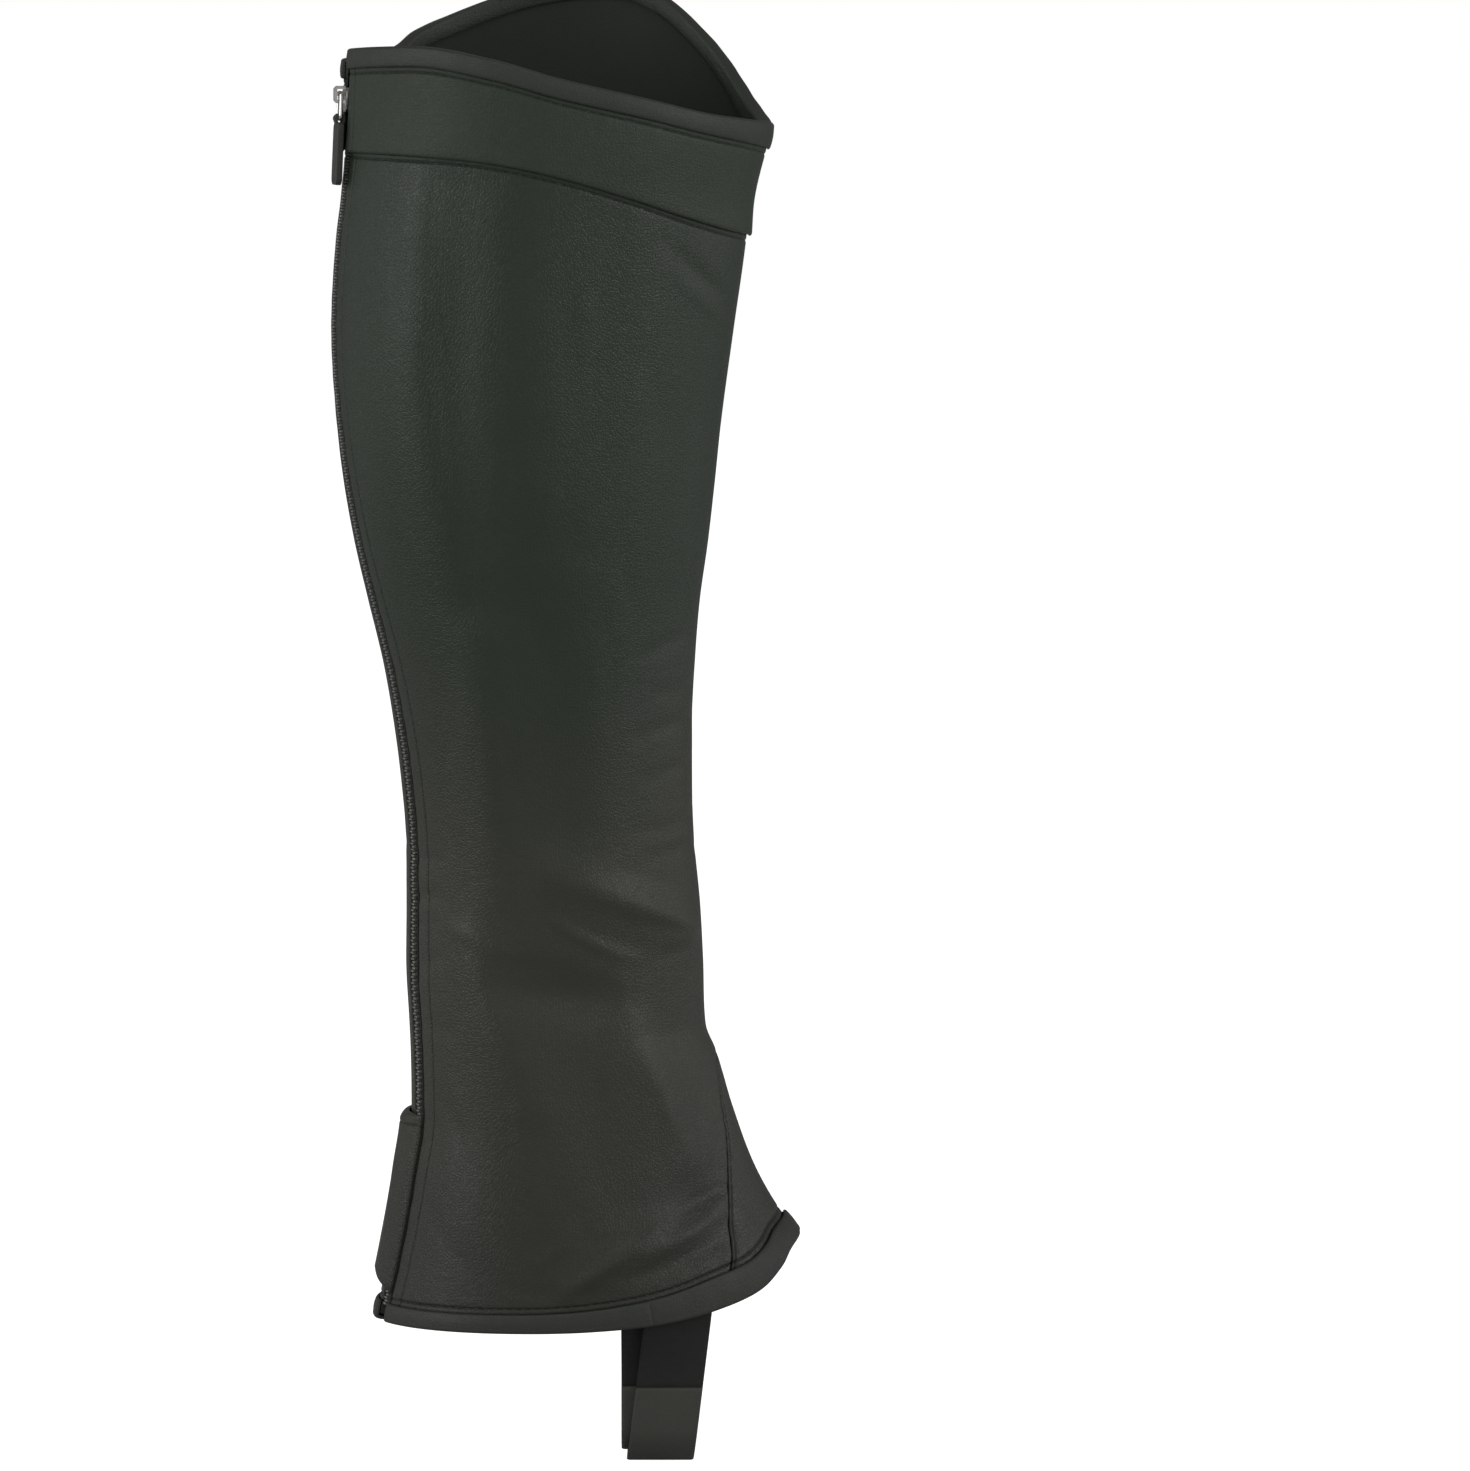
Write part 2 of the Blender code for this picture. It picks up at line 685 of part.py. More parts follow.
def build_sleeve(bm, depth, layer):
    """The leather part of the loop: down one side, round under the foot and up the other."""
    stations = [("leg", 1, LEATHER_TOP), ("leg", 1, STRAP_TURN)]
    turn = np.linspace(0, math.pi / 2, 6)
    stations += [("arc", 1, float(t)) for t in turn]
    stations += [("arc", -1, float(t)) for t in turn[::-1]]
    stations += [("leg", -1, STRAP_TURN), ("leg", -1, LEATHER_TOP)]
    outer = [strap_row(s, depth, layer, 3) for s in stations]
    inner = [strap_row(s, depth + STRAP_LEATHER, layer, 3) for s in stations]
    wall(bm, np.array(outer), np.array(inner))


def extrude(bm, outline, low, high):
    """A prism: the outline gives the first two coordinates, low and high the third."""
    rings = [[Vector((x, y, z)) for x, y in outline] for z in (low, high)]
    rings_solid(bm, rings)


def rounded(half_width, top, foot, corner, steps=4):
    """A rectangle with round corners, from top to foot along the second coordinate."""
    corners = [(1, foot, 0), (-1, foot, 90), (-1, top, 180), (1, top, 270)]
    points = []
    for side, end, start in corners:
        inward = 1 if end == top else -1
        for step in range(steps + 1):
            turn = math.radians(start + 90 * step / steps)
            x = side * (half_width - corner) + corner * math.cos(turn)
            points.append((x, end + inward * corner + corner * math.sin(turn)))
    return points


def build_slider(bm):
    """Slider body, in the hinge's own frame: x along the hinge, y down the zip and z out from it."""
    shoulder, foot = SLIDER_WIDTH / 2, SLIDER_FOOT_WIDTH / 2
    up, down = -SLIDER_UP, SLIDER_DOWN
    outline = [
        (shoulder - 1.2, up), (shoulder, up + 1.2), (shoulder, up + 3.6),
        (foot, down - 0.8), (foot - 0.8, down), (0.8 - foot, down), (-foot, down - 0.8),
        (-shoulder, up + 3.6), (-shoulder, up + 1.2), (1.2 - shoulder, up),
    ]
    extrude(bm, outline, SLIDER_BACK - PIVOT_OUT, SLIDER_FRONT - PIVOT_OUT)


def build_bail(bm):
    """The arch on the slider that the ring swings in."""
    base, front = SLIDER_FRONT - PIVOT_OUT - 0.4, BAIL_FRONT - PIVOT_OUT
    up, down, bend = -BAIL_HOLE_UP - BAIL_THICK, BAIL_HOLE_DOWN + BAIL_THICK, 0.9
    outline = [
        (up, base), (up, front - bend), (up + bend, front),
        (down - bend, front), (down, front - bend), (down, base),
        (down - BAIL_THICK, base), (down - BAIL_THICK, front - BAIL_THICK),
        (up + BAIL_THICK, front - BAIL_THICK), (up + BAIL_THICK, base),
    ]
    rings = [[Vector((x, y, z)) for y, z in outline] for x in (-BAIL_WIDTH / 2, BAIL_WIDTH / 2)]
    rings_solid(bm, rings)


def build_ring(bm):
    """The wire ring between the slider and the tab, round its own closed path."""
    path = rounded(RING_HALF_WIDTH, 0.0, RING_LENGTH, RING_CORNER)
    sides, radius = 8, RING_WIRE / 2
    rings = []
    for i, (x, y) in enumerate(path):
        before, after = Vector(path[i - 1]), Vector(path[(i + 1) % len(path)])
        ahead = (after - before).normalized()
        aside = Vector((ahead.y, -ahead.x, 0))
        ring = []
        for k in range(sides):
            turn = 2 * math.pi * (k + 0.5) / sides
            around_wire = math.cos(turn) * aside + math.sin(turn) * Vector((0, 0, 1))
            ring.append(Vector((x, y, 0)) + radius * around_wire)
        rings.append(ring)
    loops = [[bm.verts.new(point * MM) for point in ring] for ring in rings]
    for first, second in zip(loops, loops[1:] + loops[:1]):
        strip_faces(bm, first + first[:1], second + second[:1])


def build_tab(bm):
    extrude(bm, rounded(TAB_WIDTH / 2, TAB_TOP, TAB_FOOT, TAB_CORNER), -TAB_THICK / 2, TAB_THICK / 2)


def build_neck(bm):
    """The loop of leather at the tab's top, round the ring's lower bar."""
    turns = [math.radians(90 + 180 * step / 6) for step in range(7)]
    outline = [(RING_LENGTH + NECK_RADIUS * math.cos(t), NECK_RADIUS * math.sin(t)) for t in turns]
    tail = TAB_TOP + 3.0
    outline += [(tail, -0.9), (tail, 0.9)]
    rings = [[Vector((x, y, z)) for y, z in outline] for x in (-NECK_WIDTH / 2, NECK_WIDTH / 2)]
    rings_solid(bm, rings)


def build_bore(bm):
    sides = 12
    turns = [2 * math.pi * k / sides for k in range(sides)]
    outline = [(RING_LENGTH + NECK_BORE * math.cos(t), NECK_BORE * math.sin(t)) for t in turns]
    rings = [[Vector((x, y, z)) for y, z in outline] for x in (-NECK_WIDTH, NECK_WIDTH)]
    rings_solid(bm, rings)


def helper(obj, parent):
    """A shape that only a Boolean uses."""
    obj.parent = parent
    obj.hide_render = True
    obj.display_type = "WIRE"


def combine(obj, other, operation):
    modifier = obj.modifiers.new(operation.lower() + "_" + other.name, "BOOLEAN")
    modifier.operation = operation
    modifier.solver = "EXACT"
    modifier.object = other


def hinge_frame(lean):
    """At the pull's hinge: x along the hinge, y down the zip, z straight out, then leant out."""
    middle = zip_angle(PIVOT_HEIGHT)
    seat = surface(middle, PIVOT_HEIGHT)
    out = Vector(normal_of(folded_surface, middle, PIVOT_HEIGHT))
    out.z = 0
    out.normalize()
    down = Vector((0, 0, -1))
    axis = out.cross(Vector((0, 0, 1)))
    frame = Matrix((axis, down, out)).transposed().to_4x4()
    place = Matrix.Translation((Vector(seat) + out * PIVOT_OUT) * MM)
    return place @ frame @ Matrix.Rotation(math.radians(lean), 4, "X")


def empty_at(name, matrix):
    empty = bpy.data.objects.new(name, None)
    empty.matrix_world = matrix
    bpy.context.scene.collection.objects.link(empty)
    return empty


def add_slider():
    seat = empty_at("slider_seat", hinge_frame(0.0))
    slider = nickel("zip_slider", build_slider)
    slider.parent = seat
    bail = nickel("bail_shape", build_bail)
    helper(bail, seat)
    combine(slider, bail, "UNION")


def add_pull():
    hinge = empty_at("pull_hinge", hinge_frame(TAB_LEAN))
    ring = nickel("pull_ring", build_ring)
    ring.parent = hinge
    tab = leather("pull_tab", build_tab)
    tab.parent = hinge
    shapes = [("neck_shape", build_neck, "UNION"), ("bore_shape", build_bore, "DIFFERENCE")]
    for name, build, operation in shapes:
        shape = leather(name, build)
        helper(shape, hinge)
        combine(tab, shape, operation)


def clear_scene():
    for obj in list(bpy.data.objects):
        bpy.data.objects.remove(obj, do_unlink=True)


def main():
    clear_scene()
    leather("body_panel", build_panel)
    leather("instep_gusset", build_gusset)
    leather("top_band", build_band)
    leather("top_binding", build_top_binding)
    leather("hem_binding", build_hem_binding)
    leather("zip_guard_flap", build_flap)
    for name, side in (("zip_tape_inner", 1), ("zip_tape_outer", -1)):
        cloth(name, lambda bm, side=side: build_tape(bm, side))
    plastic("zip_chain", build_chain)
    add_slider()
    add_pull()
    for layer, depth in (("outer", 0.0), ("inner", STRAP_LAYER)):
        elastic_depth = depth + STRAP_LEATHER + SEAM_GAP
        for name, side in (("medial", 1), ("lateral", -1)):
            cloth(
                f"strap_elastic_{layer}_{name}",
                lambda bm, at=(side, elastic_depth, layer): build_elastic(bm, *at),
            )
        leather(f"strap_leather_{layer}", lambda bm, at=(depth, layer): build_sleeve(bm, *at))


main()
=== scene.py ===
import math
from collections import namedtuple
from functools import lru_cache, partial

import bmesh
import bpy
import numpy as np
from mathutils import Matrix, Vector


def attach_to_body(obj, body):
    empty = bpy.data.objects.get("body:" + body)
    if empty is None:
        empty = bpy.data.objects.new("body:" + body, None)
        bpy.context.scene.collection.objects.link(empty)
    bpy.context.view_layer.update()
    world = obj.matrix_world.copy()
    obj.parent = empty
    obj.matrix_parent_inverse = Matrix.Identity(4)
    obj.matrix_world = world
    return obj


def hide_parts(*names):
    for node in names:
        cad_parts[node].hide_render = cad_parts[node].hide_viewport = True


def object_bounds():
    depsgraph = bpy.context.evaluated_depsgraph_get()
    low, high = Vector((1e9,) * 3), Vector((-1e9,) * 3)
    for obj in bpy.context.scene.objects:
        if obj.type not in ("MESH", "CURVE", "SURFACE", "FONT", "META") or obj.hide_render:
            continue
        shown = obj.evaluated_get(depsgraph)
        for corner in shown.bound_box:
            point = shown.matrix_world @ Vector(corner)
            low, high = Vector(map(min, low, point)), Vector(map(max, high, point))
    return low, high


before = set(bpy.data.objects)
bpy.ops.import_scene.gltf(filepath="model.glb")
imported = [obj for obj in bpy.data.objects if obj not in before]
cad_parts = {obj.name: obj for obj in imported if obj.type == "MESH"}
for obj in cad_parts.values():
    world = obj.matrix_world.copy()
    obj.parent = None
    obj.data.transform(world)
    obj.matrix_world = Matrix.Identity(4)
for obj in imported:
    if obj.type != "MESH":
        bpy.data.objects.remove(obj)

cadLow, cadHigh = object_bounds()
mm = 0.001
print("frame loaded:", len(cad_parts), "nodes")

# A long lens about 3 m away, a little above the middle of the half chap.
cameraSettings = {
    "aim": Vector((69.7, 0.0, -139.9)) * mm,
    "distance": 3.0,
    "elevation": 5.0,
    "frameHeight": 0.5075,      # metres across the picture's long side, at the aim point
    "sensor": 36.0,
}


def makeCamera(settings):
    data = bpy.data.cameras.new("studioCamera")
    camera = bpy.data.objects.new("studioCamera", data)
    bpy.context.scene.collection.objects.link(camera)
    tilt = math.radians(settings["elevation"])
    back = Vector((0, -math.cos(tilt), math.sin(tilt)))
    camera.location = settings["aim"] + back * settings["distance"]
    camera.rotation_mode = "QUATERNION"
    camera.rotation_quaternion = (-back).to_track_quat("-Z", "Y")
    data.sensor_width = settings["sensor"]
    data.lens = settings["sensor"] * settings["distance"] / settings["frameHeight"]
    data.clip_start, data.clip_end = 0.1, 60.0
    bpy.context.scene.camera = camera


makeCamera(cameraSettings)


# Angles are degrees round the half chap: 0 front, 90 inner side, 180 back, 270 outer side. Sizes are
# millimetres, and heights are from its widest part.
Section = namedtuple("Section", "height back front halfWidth egg")
sections = [Section(*row) for row in (
    (122, -60.5, 81.4, 59.5, 0.10), (97, -62.0, 81.2, 59.5, 0.10), (71, -63.2, 80.2, 59.3, 0.10),
    (45, -65.6, 74.6, 59.0, 0.11), (31, -67.3, 73.5, 58.7, 0.12), (0, -69.0, 69.2, 58.0, 0.12),
    (-31, -67.3, 65.0, 56.5, 0.11), (-52, -64.9, 62.8, 54.8, 0.10), (-73, -61.2, 60.4, 52.3, 0.09),
    (-93, -56.6, 57.6, 49.6, 0.08), (-114, -51.6, 55.9, 47.0, 0.08), (-135, -48.0, 54.9, 44.8, 0.08),
    (-155, -45.5, 54.9, 43.0, 0.08), (-176, -43.9, 55.6, 41.6, 0.08), (-197, -43.8, 57.6, 40.6, 0.09),
    (-217, -44.0, 58.7, 40.0, 0.10), (-240, -42.9, 59.6, 39.8, 0.12), (-250, -42.5, 63.6, 39.9, 0.14),
    (-269, -42.3, 69.3, 40.3, 0.17), (-290, -45.2, 77.2, 41.3, 0.20), (-305, -47.6, 85.8, 42.2, 0.23),
    (-321, -50.6, 98.4, 43.2, 0.26), (-342, -55.0, 107.5, 44.5, 0.29),
)]
Rim = namedtuple("Rim", "angle height bandEdge")
innerRim = [Rim(*row) for row in (
    (0, 71.2, 32.5), (27, 72.9, 35.2), (46, 75.3, 39.7), (66, 80.5, 46.6), (89, 87.0, 54.3),
    (106, 93.0, 58.3), (131, 97.6, 60.6), (175, 96.2, 61.5),
)]
outerRim = [Rim(*row) for row in (
    (165, 93.0, 61.5), (200, 93.6, 61.8), (213, 95.2, 62.6), (219, 97.6, 63.6), (224, 101.6, 65.0),
    (236, 107.4, 69.0), (261, 117.6, 79.0), (283, 120.8, 84.0), (297, 115.8, 79.5), (315, 99.8, 62.5),
    (335, 79.8, 42.0), (351, 72.2, 33.6), (360, 71.2, 32.5),
)]
Hem = namedtuple("Hem", "angle height binding")
hem = [Hem(*row) for row in (
    (0, -312.0, 6.8), (25, -317.0, 7.4), (36, -322.9, 8.4), (46, -329.0, 10.0), (58, -333.9, 10.8),
    (75, -338.8, 9.4), (90, -340.6, 7.8), (110, -341.4, 6.7), (140, -341.5, 6.5), (180, -341.5, 6.5),
)]
RimBinding = namedtuple("RimBinding", "angle depth")
rimBinding = [RimBinding(*row) for row in ((0, 8.8), (22, 8.0), (50, 7.0), (180, 7.0))]
ZipLine = namedtuple("ZipLine", "height angle")
zipLine = [ZipLine(*row) for row in (
    (122, 169.0), (0, 169.0), (-52, 166.0), (-116, 162.0), (-150, 160.5), (-269, 161.0), (-342, 166.0),
)]
gussetApex = -246.7
GussetSeam = namedtuple("GussetSeam", "height angle")
gussetSeam = [GussetSeam(*row) for row in (
    (-342.0, 66.0), (-321.5, 53.8), (-307.0, 44.5), (-291.0, 33.5), (-277.0, 24.5), (-261.0, 17.0),
    (-252.0, 10.0), (gussetApex, 0.0),
)]

# The largest folds, as the solids have them.
Fold = namedtuple("Fold", "angle height toAngle toHeight halfWidth depth")
folds = [Fold(*row) for row in (
    (114, 50, 107, -90, 10.5, -2.8), (97, 92, 88, -20, 12.0, 1.0), (72, 44, 68, -70, 12.0, -1.2),
    (92, -75, 90, -165, 15.0, -2.3), (110, -104, 114, -190, 8.5, 1.2), (88, -184, 24, -206, 8.5, 2.2),
    (108, -223, 64, -228, 9.0, -2.8), (86, -240, 80, -296, 11.0, -1.5), (123, -208, 106, -262, 9.5, 1.6),
    (62, -226, 50, -280, 9.0, 1.5), (97, -326, 66, -306, 6.5, 1.6), (62, -300, 42, -292, 6.0, -1.2),
    (241, 30, 243, -96, 9.5, -2.0), (256, 45, 259, -88, 9.0, 1.2), (268, 70, 272, -140, 12.0, -1.7),
    (262, -188, 332, -200, 8.5, 2.0), (266, -207, 306, -216, 9.0, -2.3), (270, -236, 276, -288, 11.0, -1.5),
    (243, -200, 249, -246, 10.0, 1.4), (263, -322, 298, -306, 6.5, 1.4),
)]
girthPerDegree = 0.92
foldEnds = 0.55     # how much of a fold's depth is left at its ends

# A crease is sharper than a fold, and the leather beside it swells the other way.
creaseForm = {"sharpness": 1.5, "sides": 0.25, "sidesSpread": 2.3, "fadeStart": 0.12, "ends": 0.15}

# Finer creases, given one by one: side, x and height at both ends, how far the line bows, its half width
# and how deep it is. A ridge has a positive depth.
Crease = namedtuple("Crease", "side x height toX toHeight bow halfWidth depth")
creases = [Crease(*row) for row in (
    # inner side, the wide upper part
    (1, -31, 56, -33, 20, 0.5, 3.4, -0.40), (1, -34, 4, -29, -52, 1.0, 3.0, -0.55),
    (1, -27, -54, -20, -92, -1.0, 3.2, -0.45), (1, -15, 8, -16, -38, 1.0, 4.0, 0.35),
    (1, -6, 50, 0, 18, 1.5, 3.4, -0.40), (1, 11, 24, 13, -22, -1.5, 3.6, -0.30),
    (1, -6, -34, -7, -66, 1.0, 3.0, -0.40), (1, 14, -44, 15, -74, 1.0, 3.2, -0.35),
    (1, 0, -88, 10, -118, 2.0, 3.6, -0.45), (1, 23, 30, 19, -6, 1.5, 3.8, 0.30),
    (1, 47, 31, 66, 12, 1.5, 3.0, -0.70), (1, 50, 20, 64, 6, 1.0, 2.4, 0.30),
    (1, -47, 44, -43, 2, -1.0, 3.4, -0.30), (1, -46, -44, -36, -92, 2.5, 3.0, -0.35),
    (1, -24, -104, -22, -150, -1.0, 3.0, 0.40), (1, -30, -120, -28, -176, 1.0, 3.2, -0.40),
    (1, -8, -128, -3, -160, 2.0, 3.2, -0.35), (1, 24, -92, 27, -132, -2.0, 3.4, -0.35),
    (1, 33, -60, 36, -96, 2.0, 3.2, -0.30), (1, 40, -8, 43, -40, -2.0, 3.4, -0.30),
    # inner side, front of the narrow part
    (1, 55, -104, 38, -110, 1.5, 2.6, -0.60), (1, 56, -119, 42, -123, -1.5, 2.4, -0.50),
    (1, 55, -133, 36, -138, 1.5, 2.6, -0.60), (1, 55, -149, 40, -153, 2.0, 2.6, -0.65),
    (1, 55, -165, 36, -170, -1.5, 2.6, -0.60), (1, 56, -178, 40, -180, 1.5, 2.4, -0.60),
    (1, 14, -192, 52, -206, 2.0, 3.4, -0.55), (1, 8, -200, 36, -214, 1.5, 2.0, 0.95),
    (1, 16, -184, 46, -190, -1.5, 4.2, -0.50), (1, 24, -186, 50, -196, 1.5, 2.0, -0.35),
    (1, 40, -197, 58, -206, 1.5, 2.0, 0.60), (1, 44, -214, 58, -211, -1.0, 2.2, -0.60),
    (1, -11, -213, 12, -216, 1.5, 3.0, -0.50), (1, -28, -203, -12, -212, -1.5, 2.8, 0.55),
    (1, -18, -216, -9, -238, 1.5, 2.8, 0.50), (1, 31, -215, 34, -236, 1.0, 3.0, 0.45),
    # inner side, back of the narrow part
    (1, -44, -176, -30, -180, 1.5, 2.6, -0.45), (1, -43, -197, -30, -193, -1.0, 2.6, -0.50),
    (1, -42, -217, -30, -213, 1.5, 2.8, -0.45), (1, -41, -238, -27, -240, -1.5, 2.8, -0.40),
    (1, -30, -262, -22, -290, -1.5, 3.2, -0.35), (1, -35, -300, -16, -322, 2.0, 3.4, -0.35),
    # inner side, from the gusset down to the hem
    (1, 40, -246, 52, -278, 2.0, 3.2, 0.40), (1, 24, -238, 22, -262, 1.5, 3.0, -0.40),
    (1, 44, -262, 36, -284, -1.5, 2.8, -0.45), (1, 60, -262, 63, -288, 1.0, 2.8, 0.35),
    (1, 50, -302, 67, -294, -1.0, 1.8, -1.00), (1, 38, -315, 66, -299, 1.0, 2.2, 1.15),
    (1, 12, -328, 42, -307, -1.0, 2.2, 1.60), (1, 32, -323, 69, -307, 1.0, 3.2, -1.45),
    (1, 2, -318, 12, -308, 1.0, 1.8, 0.60), (1, -8, -326, 26, -327, 1.0, 2.4, -0.40),
    (1, -3, -262, 2, -296, 1.5, 3.4, 0.35), (1, 10, -292, 22, -316, -1.5, 3.0, -0.35),
    # outer side
    (-1, -41, 40, -36, -14, 1.5, 3.2, -0.45), (-1, -24, 22, -20, -36, -1.5, 3.2, 0.35),
    (-1, -6, 34, -2, -30, 2.0, 3.6, -0.40), (-1, 16, 26, 21, -44, -2.0, 3.4, -0.35),
    (-1, 40, 40, 44, -18, 2.0, 3.2, -0.35), (-1, 49, 24, 68, 4, -2.0, 3.0, -0.60),
    (-1, -32, -70, -28, -128, 2.0, 3.4, -0.40), (-1, -4, -92, -1, -150, -2.0, 3.4, -0.40),
    (-1, 22, -96, 26, -152, 2.0, 3.4, -0.35), (-1, 55, -112, 38, -118, 1.5, 2.6, -0.55),
    (-1, 54, -138, 34, -143, -2.0, 2.6, -0.60), (-1, 55, -160, 39, -166, 1.5, 2.6, -0.60),
    (-1, 56, -179, 30, -184, 2.0, 2.6, -0.60), (-1, -44, -184, -26, -188, -1.5, 2.6, -0.45),
    (-1, -43, -206, -30, -202, 1.5, 2.8, -0.50), (-1, -42, -229, -27, -232, 1.5, 2.8, -0.45),
    (-1, 10, -192, 48, -208, -2.5, 2.2, -0.95), (-1, 2, -202, 40, -214, 2.0, 2.2, 0.60),
    (-1, 12, -234, 56, -226, 2.5, 3.0, -0.50), (-1, 28, -249, 60, -244, -2.0, 2.8, -0.45),
    (-1, 26, -272, 60, -267, 1.5, 3.0, -0.45), (-1, 42, -303, 64, -294, 2.0, 2.2, -0.80),
    (-1, 38, -314, 62, -302, -1.5, 2.2, 0.65), (-1, 6, -318, 50, -310, -2.5, 2.6, -0.45),
    (-1, -20, -274, 3, -288, -2.0, 3.6, -0.40), (-1, -30, -306, -4, -318, 2.0, 3.2, -0.35),
    (-1, 16, -244, 22, -284, 2.0, 3.6, -0.40),
)]

wall = {
    "panel": 1.6, "band": 1.2, "binding": 1.0, "gusset": 1.4, "flap": 1.3, "tape": 1.0, "elastic": 1.4,
    "strap": 1.6, "seamGap": 0.35, "bandGap": 0.65, "foldGap": 1.0,
}
zipSettings = {
    "opening": 8.4, "tapeWidth": 14.0, "tapeTop": 85.3, "tapeFoot": -333.4, "chainTop": 72.5,
    "chainFoot": -336.0, "toothPitch": 2.1, "toothReach": 1.55, "toothNose": 0.55, "toothTall": 0.95,
    "cordAt": 2.15, "cordRadius": 0.5, "cordSteps": 420, "cordBumps": 0.12, "tapeRows": 180, "ripple": 0.06,
    "rippleWave": 1.9, "rippleTo": 4.0, "tapeColumns": (0.5, 1.5, 2.6, 3.4, 4.2, 6.0, 9.0, 13.4),
}
# A tooth, from its tail to its nose: place along it and share of its height. Then its section: up and out.
toothForm = {
    "profile": ((-1.0, 0.62), (-0.72, 1.0), (0.35, 0.92), (0.62, 1.18), (1.0, 0.62)),
    "section": ((-1, -1.45), (-1, -0.15), (-0.55, 0.42), (0.55, 0.42), (1, -0.15), (1, -1.45)),
    "endDrop": 0.25, "stagger": {1: 0.25, -1: 0.75},
}
# A sewn line lies this far from the edge that it holds, and presses this deep into the leather.
seam = {
    "fromEdge": 1.8, "fromZip": 6.6, "groove": 0.34, "halfWidth": 0.42, "lead": 1.1,
    "zipColumns": (4.4, 2.6, 1.6), "pitch": 3.3, "thread": 0.2, "sunk": -0.34, "gussetSunk": 0.25,
}
# The leather puckers beside a seam: wave along it, how far it reaches, and depth.
pucker = {
    "hem": (7.5, 4.5, 0.13), "band": (9.0, 5.0, 0.10), "rim": (7.5, 5.0, 0.13), "zip": (11.0, 6.0, 0.10),
    "gusset": (6.0, 5.0, 0.14), "gussetSide": (5.5, 5.5, 0.20),
}
# Painted shade lines along the sewn grooves and where leather meets leather: width and amount.
shadow = {
    "stitchLine": (0.36, 0.5), "edge": (0.4, 0.75), "zipEdge": (0.4, 0.6), "guardEdge": (0.6, 0.9),
    "guardLine": (0.4, 0.4),
}
grooveSteps = (-1.1, -0.6, -0.35, -0.15, 0.0, 0.15, 0.35, 0.6, 1.1)
besideSteps = (1.4, 1.6, 1.8, 2.1, 2.5)      # rows beside a groove, past the edge of what is sewn there
edgeSteps = (0.0, 0.35, 0.9)
edgeRoll = (0.42, 0.12, 0.0)        # how far the face has dropped at each of those steps


def smooth(table, column, at):
    rows = sorted(table, key=lambda row: row[0])
    x = np.array([row[0] for row in rows], float)
    y = np.array([getattr(row, column) for row in rows], float)
    step = np.diff(x)
    slope = np.diff(y) / step
    tangent = np.concatenate([[slope[0]], (slope[:-1] + slope[1:]) / 2, [slope[-1]]])
    tangent[1:-1][slope[:-1] * slope[1:] <= 0] = 0
    limit = 3 * np.minimum(np.abs(slope[:-1]), np.abs(slope[1:]))
    tangent[1:-1] = np.clip(tangent[1:-1], -limit, limit)
    at = np.clip(np.asarray(at, float), x[0], x[-1])
    i = np.clip(np.searchsorted(x, at) - 1, 0, len(step) - 1)
    t = (at - x[i]) / step[i]
    rise = step[i] * ((t - 2 * t**2 + t**3) * tangent[i] + (t**3 - t**2) * tangent[i + 1])
    return y[i] + (y[i + 1] - y[i]) * t * t * (3 - 2 * t) + rise


def plainSurface(angle, height):
    back, front = smooth(sections, "back", height), smooth(sections, "front", height)
    width, egg = smooth(sections, "halfWidth", height), smooth(sections, "egg", height)
    turn = np.radians(angle)
    x = (back + front) / 2 + (front - back) / 2 * np.cos(turn)
    y = -width * np.sin(turn) * (1 - egg * np.cos(turn))
    return np.stack(np.broadcast_arrays(x, y, np.asarray(height, float)), axis=-1)


def angleAt(side, x, height):
    back, front = smooth(sections, "back", height), smooth(sections, "front", height)
    turn = float(np.degrees(np.arccos(np.clip((x - (back + front) / 2) / ((front - back) / 2), -1, 1))))
    return turn if side > 0 else 360 - turn


def segmentField(angle, height, a, h, toA, toH, bow=0.0):
    along, down = (toA - a) * girthPerDegree, toH - h
    length = math.hypot(along, down)
    x, z = (angle - a) * girthPerDegree, height - h
    t = (x * along + z * down) / length**2
    across = (z * along - x * down) / length
    inside = np.clip(t, 0, 1)
    off = across - bow * 4 * inside * (1 - inside)
    return np.hypot(off, (t - inside) * length), inside


def foldDepth(angle, height):
    total = np.zeros(np.broadcast(angle, height).shape)
    for fold in folds:
        off, t = segmentField(angle, height, fold.angle, fold.height, fold.toAngle, fold.toHeight)
        fade = foldEnds + (1 - foldEnds) * np.sin(math.pi * t)
        total += fold.depth * np.exp(-((off / fold.halfWidth) ** 2)) * fade
    for line in creaseLines:
        off, t = segmentField(angle, height, *line[:5])
        wide = creaseForm["sidesSpread"] * line[5]
        shape = np.exp(-np.abs(off / line[5]) ** creaseForm["sharpness"])
        shape -= creaseForm["sides"] * np.exp(-((off / wide) ** 2))
        start, ends = creaseForm["fadeStart"], creaseForm["ends"]
        total += line[6] * shape * (ends + (1 - ends) * np.sin(math.pi * (start + (1 - 2 * start) * t)))
    return total


creaseLines = [
    (angleAt(c.side, c.x, c.height), c.height, angleAt(c.side, c.toX, c.toHeight), c.toHeight,
     c.bow, c.halfWidth, c.depth)
    for c in creases
]


def normalOf(face, angle, height, step=0.5):
    across = face(angle + step, height) - face(angle - step, height)
    up = face(angle, height + step) - face(angle, height - step)
    normal = np.cross(up, across)
    return normal / np.linalg.norm(normal, axis=-1, keepdims=True)


def foldedSurface(angle, height):
    angle, height = np.broadcast_arrays(np.asarray(angle, float), np.asarray(height, float))
    lift = foldDepth(angle % 360, height)[..., None]
    return plainSurface(angle, height) + lift * normalOf(plainSurface, angle, height)


